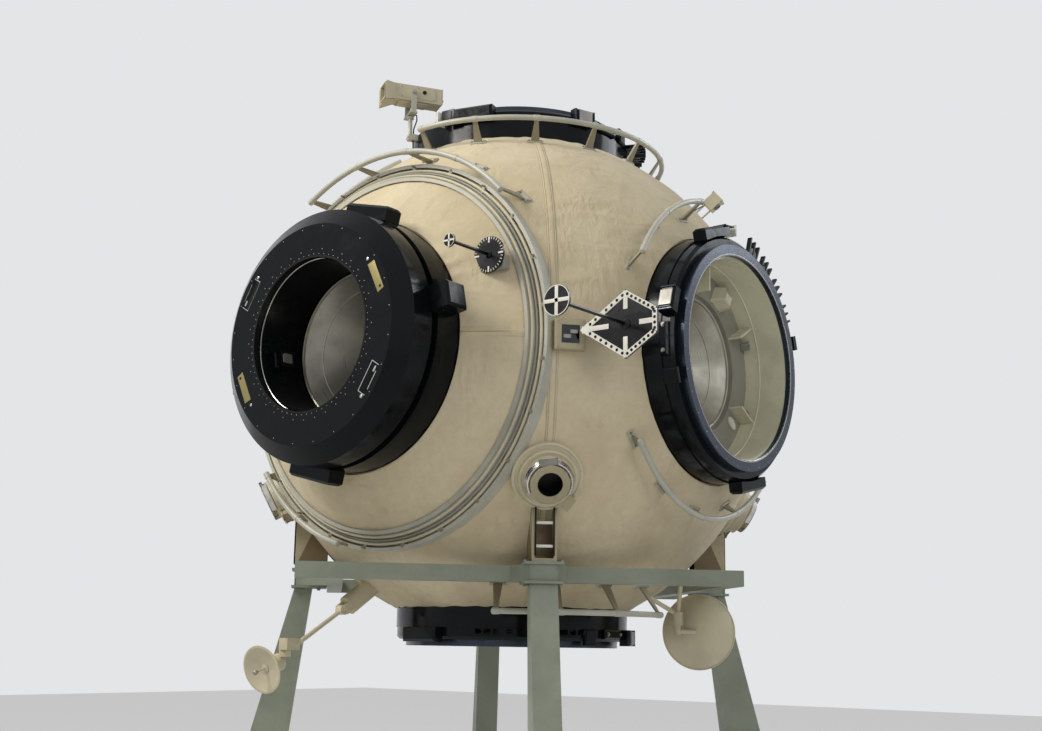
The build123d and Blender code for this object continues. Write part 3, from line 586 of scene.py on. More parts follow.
@dataclass(frozen=True)
class Metal:
    """Turned or brushed metal; the brush marks run round an axis through the hull's centre."""

    name: str
    colour: Triple
    rough: float
    metallic: float = 0.85
    axis: int | None = None
    grain: float = 160.0

    def material(self) -> bpy.types.Material:
        """Build the material."""
        paint = Paint(self.name)
        broad = paint.cloud(5.0, 4.0, 0.6)
        shade = tuple(c * 0.7 for c in self.colour)
        tone = paint.blend(broad.ramp(0.3, 0.75), self.colour, shade)
        if self.axis is None:
            lines = paint.cloud(self.grain, 3.0, 0.6)
        else:
            parts = list(paint.axes())
            parts[2] = parts[2] - CENTRE.z
            along = parts.pop(self.axis)
            radius = (parts[0] * parts[0] + parts[1] * parts[1]) ** 0.5
            spot = paint.node("ShaderNodeCombineXYZ", None, {0: radius, 1: along, 2: 0.0}).outputs[0]
            lines = paint.cloud(self.grain, 3.0, 0.6, at=spot)
        normal = paint.bump(lines, 0.0008, 0.4)
        return paint.finish(
            Base_Color=tone,
            Metallic=self.metallic,
            Roughness=lines.ramp(0.3, 0.7) * 0.1 + broad.ramp(0.3, 0.8) * 0.12 + self.rough,
            Normal=normal,
        )


@dataclass(frozen=True)
class PlainFloor:
    """Plain pale matt floor that stays pale for the camera and keeps its shadows."""

    colour: Triple = linear(226, 226, 225)
    glow: float = 0.55

    def material(self) -> bpy.types.Material:
        """Build the material."""
        paint = Paint("floor_pale")
        grit = paint.cloud(40.0, 4.0, 0.6)
        tone = paint.blend(grit.ramp(0.3, 0.8) * 0.15, self.colour, tuple(c * 0.9 for c in self.colour))
        paint.finish(Base_Color=tone, Roughness=0.75, Specular_IOR_Level=0.2)
        rays = paint.node("ShaderNodeLightPath")
        lamp = paint.node("ShaderNodeEmission", None, {"Color": self.colour, "Strength": 1.0})
        camera, glossy = (Value(paint, rays.outputs[f"Is {kind} Ray"]) for kind in ("Camera", "Glossy"))
        factor = camera.most(glossy) * self.glow
        mix = paint.node("ShaderNodeMixShader", None, {0: factor, 1: paint.shader.outputs[0], 2: lamp.outputs[0]})
        paint.tree.links.new(mix.outputs[0], paint.output.inputs[0])
        return paint.material


class Finishes:
    """Every finish of the object, built once."""

    def __init__(self) -> None:
        """Build the materials."""
        worn = (120, 108, 84)
        self.blanket = Blanket().material()
        self.black = BlackGloss().material()
        self.black_satin = BlackGloss("fitting_black_satin", (0.0052, 0.0062, 0.0066), 0.26, 0.17).material()
        self.cream = self.enamel("fitting_cream_paint", (206, 196, 166), worn, 0.42, 0.35)
        self.rail = self.enamel("handrail_cream_paint", (188, 186, 170), worn, 0.38, 0.4)
        self.throat = self.enamel("throat_cream_paint", (222, 218, 190), (150, 142, 112), 0.3, 0.3, 0.2)
        self.ribbed = self.enamel("throat_grey_paint", (148, 146, 134), (90, 88, 78), 0.35, 0.35)
        self.stand = self.enamel("stand_grey_green_paint", (137, 143, 125), (86, 92, 84), 0.5, 0.35)
        self.stand_bolt = self.enamel("stand_bolt_paint", (116, 124, 112), (80, 80, 74), 0.45, 0.5)
        self.beige = self.enamel("strut_beige_paint", (170, 158, 126), (110, 98, 74), 0.5, 0.4)
        self.post = self.enamel("rail_post_brown_grey", (146, 136, 110), worn, 0.45, 0.4)
        # Darker brown of the struts' hollows: painted shade.
        self.recess = self.enamel("strut_recess_brown", (112, 94, 62), (70, 58, 40), 0.55, 0.4)
        self.cabin = self.enamel("cabin_wall_paint", (180, 182, 170), (140, 140, 130), 0.5, 0.2)
        self.silver = Metal("seal_ring_blue_steel", linear(58, 65, 78), 0.18, 0.75).material()
        self.chrome = Metal("boss_bright_metal", (0.62, 0.6, 0.56), 0.16, 1.0).material()
        self.dull_metal = Metal("fitting_dull_metal", (0.34, 0.32, 0.29), 0.4, 0.8).material()
        self.gold = Metal("latch_gold_plate", linear(152, 140, 92), 0.32, 0.7).material()
        self.cones = [
            Metal(f"cone_spun_metal_{letter}", linear(178, 174, 160), 0.26, 0.7, axis).material()
            for axis, letter in enumerate("xyz")
        ]
        self.target_black = BlackGloss("target_black_gloss", (0.004, 0.004, 0.005), 0.16, 0.3).material()
        self.target_white = self.enamel("target_white_paint", (232, 228, 214), (170, 164, 150), 0.5, 0.15)
        self.glass = BlackGloss("window_dark_glass", (0.003, 0.003, 0.0036), 0.05, 0.12).material()
        self.floor = PlainFloor().material()

    @staticmethod
    def enamel(
        name: str, colour: tuple[int, int, int], worn: tuple[int, int, int],
        rough: float, wear: float, coat: float = 0.0,
    ) -> bpy.types.Material:
        """Build one painted finish.

        Args:
            name: the material's name.
            colour: the paint as seen on a screen, 0 to 255.
            worn: its scuffs, the same way.
            rough: its roughness.
            wear: how much the scuffs show.
            coat: its clear coat.

        Returns:
            The material.
        """
        return Enamel(name, linear(*colour), linear(*worn), rough, wear, coat=coat).material()

    def cone(self, port: Port) -> bpy.types.Material:
        """The spun metal whose brush marks run round a port's axis."""
        return self.cones[max(range(3), key=lambda index: abs(port.axis[index]))]


def polar(angle: float, radius: float, out: float = 0.0) -> Matrix:
    """Place round a Z axis, with X pointing away from it.

    Args:
        angle: degrees from X towards Y.
        radius: distance from the axis.
        out: height along it.

    Returns:
        The place as a matrix.
    """
    return Matrix.Rotation(math.radians(angle), 4, "Z") @ Matrix.Translation((radius, 0.0, out))


def at(x: float, y: float = 0.0, z: float = 0.0) -> Matrix:
    """A place moved along the axes."""
    return Matrix.Translation((x, y, z))


def sideways(side: int) -> Matrix:
    """A turn that points Z along Y for side 1, or against it for side -1."""
    return Matrix.Rotation(-side * math.pi / 2, 4, "X")


def moved(profile: Outline, radius: float, height: float) -> list[tuple[float, float]]:
    """A lathe's profile moved out and up."""
    return [(radius + r, height + z) for r, z in profile]


def bead(radius: float, height: float, size: float, corners: int = 8) -> list[tuple[float, float]]:
    """A round lathe's profile.

    Args:
        radius: its middle's distance from the axis.
        height: its middle's height.
        size: its own radius.
        corners: how many corners it has.

    Returns:
        The profile.
    """
    turns = (2 * math.pi * corner / corners for corner in range(corners))
    return [(radius + size * math.cos(turn), height + size * math.sin(turn)) for turn in turns]


class Form:
    """One piece while its faces are being laid, in any number of finishes."""

    def __init__(self, name: str, place: Matrix = HERE, body: str = HOME) -> None:
        """Start an empty piece.

        Args:
            name: the piece's name.
            place: what its parts are placed in; the row's frame if not given.
            body: the CAD body that it rides on.
        """
        self.name = name
        self.place = place
        self.body = body
        self.mesh = bmesh.new()
        self.looks: list[bpy.types.Material] = []

    def paint(self, faces: Iterable[bmesh.types.BMFace], look: bpy.types.Material) -> None:
        """Give faces a finish."""
        if look not in self.looks:
            self.looks.append(look)
        for face in faces:
            face.material_index = self.looks.index(look)

    def spots(self, points: Iterable[Vector]) -> list[Vector]:
        """Points of the form's place, in the row's frame."""
        return [self.place @ point for point in points]

    def skin(
        self, rows: Sequence[Sequence[Vector]], look: bpy.types.Material, ring: bool = False, loop: bool = False
    ) -> None:
        """Lay quads over rows of points.

        Args:
            rows: rows of points in the row's frame, all of one length.
            look: the finish.
            ring: whether each row closes on itself.
            loop: whether the last row joins the first.
        """
        made = [[self.mesh.verts.new(point) for point in row] for row in rows]
        faces = []
        for j in range(len(made) if loop else len(made) - 1):
            one, two = made[j], made[(j + 1) % len(made)]
            for i in range(len(one) if ring else len(one) - 1):
                k = (i + 1) % len(one)
                faces.append(self.mesh.faces.new((one[i], one[k], two[k], two[i])))
        self.paint(faces, look)

    def panel(self, corners: Sequence[Vector], look: bpy.types.Material) -> None:
        """Lay one quad between four corners of the form's place."""
        first, second, third, fourth = self.spots(corners)
        self.skin([[first, second], [fourth, third]], look)

    def close(self, rows: Sequence[Sequence[Vector]], look: bpy.types.Material) -> None:
        """Lay a face over the first and the last row of a skin."""
        self.paint([self.mesh.faces.new([self.mesh.verts.new(p) for p in row]) for row in (rows[0], rows[-1])], look)

    def soften(self, edges: Iterable[bmesh.types.BMEdge], bevel: float) -> None:
        """Round edges in the finish of the faces beside them."""
        bmesh.ops.bevel(
            self.mesh, geom=list(edges), offset=bevel, segments=2, profile=0.6,
            affect="EDGES", clamp_overlap=True, material=-1,
        )

    def lathe(
        self, place: Matrix, profile: Outline, look: bpy.types.Material, steps: int = 64,
        first: float = 0.0, span: float = 360.0, shut: bool = True,
    ) -> None:
        """Turn a profile round a place's Z.

        Args:
            place: where, in the form's place.
            profile: radius and height of each corner.
            look: the finish.
            steps: faces round the span.
            first: the first angle in degrees.
            span: the angle that it covers.
            shut: whether the profile closes on itself.
        """
        full = self.place @ place
        whole = span >= 360.0
        rows = []
        for index in range(steps if whole else steps + 1):
            angle = math.radians(first + span * index / steps)
            rows.append([full @ Vector((r * math.cos(angle), r * math.sin(angle), z)) for r, z in profile])
        self.skin(rows, look, ring=shut, loop=whole)
        if shut and not whole:
            self.close(rows, look)

    def cap(
        self, place: Matrix, radius: float, height: float, slope: float, look: bpy.types.Material,
        steps: int = 16, drop: float | None = None,
    ) -> None:
        """Add a round cap with a sloped edge, such as a pin's end or a knob.

        Args:
            place: its foot, with Z outwards.
            radius: its radius.
            height: its height.
            slope: how wide the sloped edge is.
            look: the finish.
            steps: faces round it.
            drop: how far the slope falls; as far as it is wide if not given.
        """
        shoulder = height - (slope if drop is None else drop)
        profile = [(TIP_R, height), (radius - slope, height), (radius, shoulder), (radius, 0.0)]
        self.lathe(place, profile, look, steps, shut=False)

    def block(
        self, place: Matrix, size: Triple, look: bpy.types.Material, bevel: float = 0.003, taper: float = 1.0
    ) -> None:
        """Add a box with rounded edges.

        Args:
            place: its middle, in the form's place.
            size: its sides.
            look: the finish.
            bevel: radius of its edges.
            taper: how much of its width and depth is left at the top.
        """
        full = self.place @ place
        verts = bmesh.ops.create_cube(self.mesh, size=1.0)["verts"]
        for vert in verts:
            keep = taper if vert.co.z > 0 else 1.0
            x, y, z = vert.co
            vert.co = full @ Vector((x * size[0] * keep, y * size[1] * keep, z * size[2]))
        self.paint({face for vert in verts for face in vert.link_faces}, look)
        self.soften({edge for vert in verts for edge in vert.link_edges}, bevel)

    def plate(
        self, place: Matrix, outline: Outline, thick: float, look: bpy.types.Material, bevel: float = 0.0
    ) -> None:
        """Raise an outline into a plate.

        Args:
            place: its lower face, in the form's place.
            outline: its corners.
            thick: its thickness along Z.
            look: the finish.
            bevel: radius of its edges.
        """
        full = self.place @ place
        low, high = ([self.mesh.verts.new(full @ Vector((x, y, z))) for x, y in outline] for z in (0.0, thick))
        faces = [self.mesh.faces.new(low[::-1]), self.mesh.faces.new(high)]
        for i in range(len(low)):
            j = (i + 1) % len(low)
            faces.append(self.mesh.faces.new((low[i], low[j], high[j], high[i])))
        self.paint(faces, look)
        if bevel:
            self.soften(faces[1].edges, bevel)

    def tube(self, points: Sequence[Triple], radius: float, look: bpy.types.Material, sides: int = 8) -> None:
        """Draw a round bar along points.

        Args:
            points: its line, in the form's place.
            radius: its radius.
            look: the finish.
            sides: faces round it.
        """
        line = self.spots(Vector(point) for point in points)
        over = (line[1] - line[0]).normalized().orthogonal().normalized()
        rows = []
        for index, point in enumerate(line):
            after, before = line[min(index + 1, len(line) - 1)], line[max(index - 1, 0)]
            ahead = (after - before).normalized()
            over = (over - ahead * over.dot(ahead)).normalized()
            side = ahead.cross(over)
            rows.append([
                point + (over * math.cos(turn) + side * math.sin(turn)) * radius
                for turn in (2 * math.pi * step / sides for step in range(sides))
            ])
        self.skin(rows, look, ring=True)
        self.close(rows, look)

    def bolt(self, place: Matrix, radius: float, look: bpy.types.Material) -> None:
        """Add a hexagon head on a washer, or a small domed screw.

        Args:
            place: its foot, with Z outwards.
            radius: half its width.
            look: the finish.
        """
        if radius < DOMED:
            dome = [(TIP_R, radius * 0.7), (radius * 0.7, radius * 0.5), (radius, 0.0)]
            self.lathe(place, dome, look, 10, shut=False)
            return
        brim, foot, shoulder = radius * 1.5, radius * 0.25, radius * 0.85
        self.lathe(place, [(TIP_R, 0.0), (brim, 0.0), (brim, foot), (TIP_R, foot)], look, 16)
        head = [(TIP_R, foot), (radius, foot), (radius, shoulder), (radius * 0.86, radius), (TIP_R, radius)]
        self.lathe(place, head, look, 6)

    def screws(
        self, count: int, first: float, radius: float, out: float, size: float, look: bpy.types.Material
    ) -> None:
        """Add a circle of bolts or screws round the form's Z.

        Args:
            count: how many.
            first: the first one's angle in degrees.
            radius: the circle's radius.
            out: the height of their feet.
            size: half their width.
            look: the finish.
        """
        for index in range(count):
            self.bolt(polar(first + 360.0 / count * index, radius, out), size, look)

    def settle(self, limit: float, depth: float = 0.002, share: float = 0.45) -> None:
        """Press what stands near a limit along Z down below it, in the same order of heights.

        Args:
            limit: the height that nothing passes, in the form's place.
            depth: how far below the limit the pressing starts.
            share: how much is left of a height above that.
        """
        back = self.place.inverted()
        for vert in self.mesh.verts:
            spot = back @ vert.co
            if spot.z > limit - depth:
                spot.z = min(limit, limit - depth + (spot.z - limit + depth) * share)
                vert.co = self.place @ spot

    def done(self, slot: str, crease: float = 32.0) -> bpy.types.Object:
        """Turn the faces into a piece that rides on its body.

        Args:
            slot: the record's material slot; not used.
            crease: angle in degrees above which an edge stays sharp.

        Returns:
            The piece.
        """
        bmesh.ops.remove_doubles(self.mesh, verts=self.mesh.verts, dist=2e-5)
        bmesh.ops.recalc_face_normals(self.mesh, faces=self.mesh.faces)
        data = bpy.data.meshes.new(self.name)
        shade(self.mesh, crease)
        self.mesh.to_mesh(data)
        self.mesh.free()
        for look in self.looks:
            data.materials.append(look)
        piece = link(self.name, data)
        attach(piece, self.body)
        return piece


def shade(mesh: bmesh.types.BMesh, crease: float) -> None:
    """Shade faces smooth between edges that stay sharp.

    Args:
        mesh: the faces.
        crease: angle in degrees above which an edge stays sharp.
    """
    limit = math.radians(crease)
    for face in mesh.faces:
        face.smooth = True
    for edge in mesh.edges:
        edge.smooth = len(edge.link_faces) == 2 and edge.calc_face_angle(0.0) < limit


def link(name: str, data: bpy.types.ID) -> bpy.types.Object:
    """Put an object with its data into the scene."""
    thing = bpy.data.objects.new(name, data)
    bpy.context.scene.collection.objects.link(thing)
    return thing


def nearest_port(direction: Vector) -> tuple[Port, float]:
    """The port whose axis is nearest to a direction.

    Args:
        direction: a unit direction from the hull's centre.

    Returns:
        The port and the angle to it in radians.
    """
    port = max(Port, key=lambda one: one.axis.dot(direction))
    return port, math.acos(max(-1.0, min(1.0, port.axis.dot(direction))))


@dataclass
class Blankets:
    """Eight fitted sheets of blanket cloth with lapped seams between them."""

    hole: float = 0.7485
    proud: float = 0.005
    tucked: float = 0.006
    along: int = 112
    out: int = 42
    pucker: float = 0.0048
    crease: float = 0.0052
    gather: float = 0.0042
    strip: float = 0.026
    lap: tuple[tuple[float, float], ...] = (
        (-1.02, -0.004), (-1.0, 0.0022), (-0.74, 0.0038), (-0.64, 0.0024), (-0.54, 0.0040), (0.0, 0.0046),
        (0.54, 0.0040), (0.64, 0.0024), (0.74, 0.0038), (1.0, 0.0022), (1.02, -0.004),
    )
    sides: tuple[Port, ...] = (Port.FRONT, Port.RIGHT, Port.REAR, Port.LEFT)
    reach: float = 61.5
    dome_first: tuple[float, float] = (-45.0, 27.3)
    dome_span: float = 17.7

    def ridge(self, x: float, y: float, z: float) -> float:
        """A sharp ridge where noise crosses zero, one at most."""
        return max(0.0, 1 - abs(noise.noise(Vector((x, y, z)))) * 6.5)

    def lift(self, direction: Vector) -> float:
        """How far the cloth stands over the hull.

        Args:
            direction: a unit direction from the hull's centre.

        Returns:
            The height in metres.
        """
        port, angle = nearest_port(direction)
        edge = HULL_R * (angle - math.asin(self.hole / HULL_R))
        local = port.place.to_3x3().transposed() @ direction
        turn = math.atan2(local.y, local.x)
        wave = math.sin(turn * 34 + 5 * noise.noise(direction * 6)) * (0.4 + noise.noise(direction * 9 + UP * 3))
        x, y, z = direction
        upright = self.ridge(x * 8, y * 8, z * 2.2) ** 1.5
        level = self.ridge(x * 2.6, y * 2.6, z * 9 + 4) ** 1.5
        patch = max(0.0, noise.noise(direction * 2.3 + UP * 5) + 0.12) * 1.6
        folds = upright * patch + level * max(0.0, 0.7 - patch)
        seam = HULL_R * abs(abs(x) - abs(y)) / math.sqrt(2)
        tuck = math.sin(z * 74 + 5 * noise.noise(direction * 4)) * max(0.0, 0.25 + noise.noise(direction * 7 + UP))
        slack = noise.noise(direction * 3.1 + UP * 8) * 0.005 + noise.noise(direction * 11) * 0.0016
        return (
            self.proud + 0.002 + slack + self.crease * folds
            + self.gather * tuck * math.exp(-((seam - 0.03) / 0.13) ** 2)
            + self.pucker * wave * math.exp(-edge / 0.09) + 0.002 * math.exp(-edge / 0.03)
        )

    def point(self, direction: Vector, extra: float = 0.0) -> Vector:
        """A point on the cloth.

        Args:
            direction: a unit direction from the hull's centre.
            extra: height over the cloth.

        Returns:
            The point.
        """
        return CENTRE + direction * (HULL_R + self.lift(direction) + extra)

    def columns(self, port: Port, quarter: int) -> list[list[Vector]]:
        """Directions from a port's hole to the border of its share of the hull.

        Args:
            port: the port.
            quarter: which quarter of its share.

        Returns:
            A column of directions for each step along the quarter.
        """
        hole = math.asin(self.hole / HULL_R)
        turn = port.place.to_3x3() @ Matrix.Rotation(quarter * math.pi / 2, 3, "Z")
        columns = []
        for step in range(self.along + 1):
            slant = math.tan(math.pi / 4 * (2 * step / self.along - 1))
            rim = (turn @ Vector((1.0, slant, 1.0))).normalized()
            flat = (rim - port.axis * rim.dot(port.axis)).normalized()
            far = math.acos(port.axis.dot(rim))
            angles = [hole + (far - hole) * (row / self.out) ** 0.9 for row in range(self.out + 1)]
            columns.append([(port.axis * math.cos(a) + flat * math.sin(a)).normalized() for a in angles])
        return columns

    def sheets(self, look: bpy.types.Material) -> None:
        """Build the eight sheets.

        Args:
            look: the cloth.
        """
        forms = {
            (side, level): Form(f"blanket_{level}_{side.key}") for side in self.sides for level in ("upper", "lower")
        }
        for port in Port:
            for quarter in range(4):
                columns = self.columns(port, quarter)
                for half in range(2):
                    part = columns[half * self.along // 2:(half + 1) * self.along // 2 + 1]
                    middle = part[len(part) // 2][self.out // 2]
                    side = max(self.sides, key=lambda one: one.axis.dot(middle))
                    rows = [
                        [CENTRE + column[0] * (HULL_R - self.tucked)] + [self.point(spot) for spot in column]
                        for column in part
                    ]
                    forms[side, "upper" if middle.z > 0 else "lower"].skin(rows, look)
        for (side, level), form in forms.items():
            sheet = form.done("blanket", crease=80.0)

    def seam(self, form: Form, line: Callable[[float], Vector], look: bpy.types.Material, steps: int) -> None:
        """Lay one lapped strip.

        Args:
            form: the piece that takes it.
            line: the direction from the hull's centre at a share of its length.
            look: the cloth.
            steps: how many quads long it is.
        """
        rows = []
        for step in range(steps + 1):
            direction = line(step / steps)
            ahead = (line(min(1.0, (step + 1) / steps)) - line(max(0.0, (step - 1) / steps))).normalized()
            across = ahead.cross(direction).normalized()
            wide = self.strip * (1 + 0.08 * noise.noise(direction * 20))
            rows.append([
                self.point((direction + across * (x * wide / HULL_R)).normalized(), up) for x, up in self.lap
            ])
        form.skin(rows, look)

    def seams(self, look: bpy.types.Material) -> None:
        """Build the lapped seams down the four meridians and across the four side domes.

        Args:
            look: the cloth.
        """
        for azimuth in QUARTERS:
            form = Form(f"blanket_seam_{azimuth:.0f}")
            self.seam(form, lambda share: heading(azimuth, self.reach - 2 * self.reach * share), look, 150)
            seam = form.done("blanket", crease=80.0)
        form = Form("blanket_seams_across")
        for azimuth in (0, 90, 180, 270):
            for first in self.dome_first:
                self.seam(form, lambda share: heading(azimuth + first + self.dome_span * share), look, 24)
        seam = form.done("blanket", crease=80.0)


@dataclass
class DeepPortTrim:
    """Latches, plates, screws and lip of a front or rear port."""

    port: Port
    latch_r: float = 0.572
    long: float = 0.185
    wide: float = 0.058
    bar: float = 0.005
    lip: float = 0.450
    proud: float = 0.0006
    gold: tuple[tuple[float, float], ...] = ((-0.024, -0.095), (0.026, -0.09), (0.03, 0.09), (-0.022, 0.094))
    screws: tuple[tuple[int, float, float, float, float], ...] = (
        (24, 7.5, 0.624, DEEP_FACE - 0.0024, 0.0044),
        (36, 0.0, 0.492, DEEP_FACE - 0.0023, 0.0042),
        (72, 2.5, 0.4625, DEEP_FACE - 0.0019, 0.0036),
    )

    def plates(self, form: Form, looks: Finishes, top: float) -> None:
        """Lay the two gold plates, each with a flat black disc for a hole as painted shade, and a pin.

        Args:
            form: the piece.
            looks: the finishes.
            top: the height of their upper faces.
        """
        for angle in (27.0, -153.0):
            spot = polar(angle, self.latch_r)
            form.plate(spot @ at(0, 0, top - 0.006), self.gold, 0.006, looks.gold, 0.002)
            # A flat black disc laid on the plate stands for a hole: painted shade.
            hole = [(TIP_R, 0.0002), (0.009, 0.0002)]
            form.lathe(spot @ at(0.006, -0.07, top), hole, looks.black_satin, 16, shut=False)
            form.cap(spot @ at(-0.01, 0.125, top - 0.006), 0.011, 0.006, 0.003, looks.chrome)

    def latches(self, form: Form, looks: Finishes, top: float) -> None:
        """Lay the two latches: a dark pane in a broken bright frame, with a pin.

        Args:
            form: the piece.
            looks: the finishes.
            top: the height of the plates' upper faces.
        """
        half, reach = self.wide / 2, self.long / 2
        bars = (
            (-half, 0, self.bar, self.long), (half, 0, self.bar, self.long * 0.6),
            (0, reach, self.wide, self.bar), (0, -reach, self.wide, self.bar),
            (half * 0.4, reach * 0.66, 0.012, 0.034),
        )
        for angle in (149.0, -32.0):
            spot = polar(angle, self.latch_r)
            form.block(spot @ at(0, 0, top - 0.0035), (self.wide, self.long, 0.0065), looks.glass, 0.002)
            for x, y, wide, long in bars:
                form.block(spot @ at(x, y, top - 0.0028), (wide, long, 0.006), looks.chrome, 0.001)
            form.cap(spot @ at(half * 0.3, -reach - 0.016, top - 0.004), 0.011, 0.005, 0.003, looks.chrome)

    def build(self, looks: Finishes) -> None:
        """Build the trim.

        Args:
            looks: the finishes.
        """
        form = Form(f"latch_trim_{self.port.key}", self.port.place)
        self.plates(form, looks, DEEP_FACE + self.proud)
        self.latches(form, looks, DEEP_FACE + self.proud)
        for circle in self.screws:
            form.screws(*circle, looks.dull_metal)
        form.block(polar(-171, 0.425, 1.70), (0.05, 0.085, 0.09), looks.black_satin, 0.006)
        form.block(polar(-171, 0.396, 1.70), (0.012, 0.05, 0.06), looks.dull_metal, 0.003)
        rim = [(0.0, -0.034), (0.004, -0.031), (0.004, -0.024), (0.0, -0.020), (-0.003, -0.027)]
        form.lathe(HERE, moved(rim, self.lip, DEEP_FACE), looks.black_satin, 96)
        line = [(0.002, -0.064), (-0.001, -0.062), (-0.001, -0.058), (0.002, -0.056)]
        form.lathe(HERE, moved(line, self.lip, DEEP_FACE), looks.chrome, 96)
        form.settle(DEEP_FACE)
        form.done("black_ring")


@dataclass
class DeepRing:
    """The ring of a front or rear port, whose front edge slopes away wider than on the solid."""

    port: Port
    rim: float = 0.738
    solid_bevel: float = 0.035
    wide: float = 0.098
    deep: float = 0.076
    sunk: float = 0.0012
    near: float = 1e-4
    crease: float = 20.0

    def slope(self, spot: Vector) -> Vector:
        """Where a corner of the solid's ring goes.

        Args:
            spot: the corner in the port's place.

        Returns:
            Its place on the ring with the wide slope.
        """
        radius = math.hypot(spot.x, spot.y)
        if abs(spot.z - DEEP_FACE) < self.near and abs(radius - self.rim + self.solid_bevel) < self.near:
            share = (self.rim - self.wide) / radius
            spot = Vector((spot.x * share, spot.y * share, spot.z))
        elif abs(radius - self.rim) < 3 * self.near and abs(spot.z - DEEP_FACE + self.solid_bevel) < self.near:
            spot = Vector((spot.x, spot.y, DEEP_FACE - self.deep))
        return Vector((spot.x, spot.y, min(spot.z, DEEP_FACE - self.sunk)))

    def build(self, nodes: dict[str, bpy.types.Object]) -> None:
        """Build the ring from its node's faces with the slope moved in and back.

        Args:
            nodes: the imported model's nodes by name.
        """
        node = f"docking_ring_{self.port.key}"
        data = nodes[node].data.copy()
        data.name = f"{node}_sloped"
        place = self.port.place
        back = place.inverted()
        for vertex in data.vertices:
            spot = back @ vertex.co
            goal = self.slope(spot)
            if goal != spot:
                vertex.co = place @ goal
        if "custom_normal" in data.attributes:
            data.attributes.remove(data.attributes["custom_normal"])
        mesh = bmesh.new()
        mesh.from_mesh(data)
        bmesh.ops.remove_doubles(mesh, verts=mesh.verts, dist=2e-6)
        shade(mesh, self.crease)
        mesh.to_mesh(data)
        mesh.free()
        piece = link(data.name, data)
        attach(piece, HOME)
        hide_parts(node)


@dataclass
class ShortPortTrim:
    """Brackets, windows, fins' webs and bright edges of a side, top or bottom port."""

    port: Port
    seat: float = 1.380
    lug: float = 1.650
    pitch: float = 12.5
    span: float = 8.0
    steps: int = 8
    levels: tuple[tuple[float, float], ...] = ((1.6125, 0.092), (1.6300, 0.066))

    def webs(self, form: Form, look: bpy.types.Material) -> None:
        """Fill the foot of each group of fins with two arched webs.

        Args:
            form: the piece.
            look: the finish.
        """
        first = 22.0 if self.port.axis.z else 26.0
        shares = [step / self.steps for step in range(self.steps + 1)]
        for group in range(4):
            turns = [first + self.pitch * group + self.span * share for share in shares]
            for level, rise in self.levels:
                crown = [0.752 + rise * (0.55 + 0.45 * math.sin(math.pi * share)) for share in shares]
                arch = [*zip(crown, turns), *((0.750, turn) for turn in reversed(turns))]
                outline = [(r * math.cos(math.radians(a)), r * math.sin(math.radians(a))) for r, a in arch]
                form.plate(at(0, 0, level), outline, 0.006, look)

    def throat(self, form: Form, looks: Finishes) -> None:
        """Fit the throat: a bracket, two oval windows, four lugs, a seam and a bright edge.

        Args:
            form: the piece.
            looks: the finishes.
        """
        form.block(polar(62, 0.505, self.seat + 0.062), (0.10, 0.11, 0.072), looks.throat, 0.012, 0.8)
        form.block(polar(62, 0.505, self.seat + 0.104), (0.06, 0.07, 0.012), looks.throat, 0.005)
        oval = [(0.052 * math.cos(t), 0.030 * math.sin(t)) for t in (math.pi * i / 12 for i in range(24))]
        pane = [(x * 0.82, y * 0.76) for x, y in oval]
        for angle in (-38.0, 142.0):
            form.plate(polar(angle, 0.515, self.seat + 0.026), oval, 0.006, looks.throat, 0.002)
            form.plate(polar(angle, 0.515, self.seat + 0.0325), pane, 0.0012, looks.target_white)
        for angle in (105.0, 20.0, 250.0, 335.0):
            form.block(polar(angle, 0.585, self.seat + 0.05), (0.03, 0.05, 0.05), looks.ribbed, 0.006)
            form.bolt(polar(angle, 0.585, self.seat + 0.075), 0.008, looks.dull_metal)
        seam = [(0.6055, 1.50), (0.6010, 1.503), (0.6010, 1.507), (0.6055, 1.51)]
        form.lathe(HERE, seam, looks.throat, 96)
        edge = [(0.6160, -0.002), (0.6220, 0.0004), (0.6250, 0.0004), (0.6250, -0.004)]
        form.lathe(HERE, moved(edge, 0.0, SHORT_FACE), looks.chrome, 96)

    def outside(self, form: Form, looks: Finishes) -> None:
        """Fit the ring's outside: a sensor, a latch box, two bolts and a plate.

        Args:
            form: the piece.
            looks: the finishes.
        """
        first = 176.0 if self.port.axis.z else 0.0
        fittings = (
            (91.0, 0.790, 1.645, (0.064, 0.012, 0.085), looks.target_white),
            (96.5, 0.806, 1.645, (0.006, 0.10, 0.088), looks.black_satin),
            (158.8, 0.776, self.lug, (0.052, 0.008, 0.094), looks.silver),
            (169.0, 0.776, self.lug, (0.052, 0.008, 0.094), looks.silver),
            (164.0, 0.802, self.lug, (0.005, 0.10, 0.08), looks.dull_metal),
            (17.0, 0.792, self.lug, (0.004, 0.06, 0.07), looks.dull_metal),
        )
        for angle, radius, out, size, look in fittings:
            form.block(polar(first + angle, radius, out), size, look, 0.002)
        for angle in (175.0, 186.0):
            form.bolt(polar(first + angle, 0.7715, 1.630) @ TO_X, 0.009, looks.dull_metal)

    def build(self, looks: Finishes) -> None:
        """Build the trim.

        Args:
            looks: the finishes.
        """
        form = Form(f"port_trim_{self.port.key}", self.port.place)
        self.throat(form, looks)
        form.screws(32, 4.0, 0.664, SHORT_FACE - 0.0012, 0.0042, looks.dull_metal)
        self.webs(form, looks.black_satin)
        self.outside(form, looks)
        form.done("black_ring")


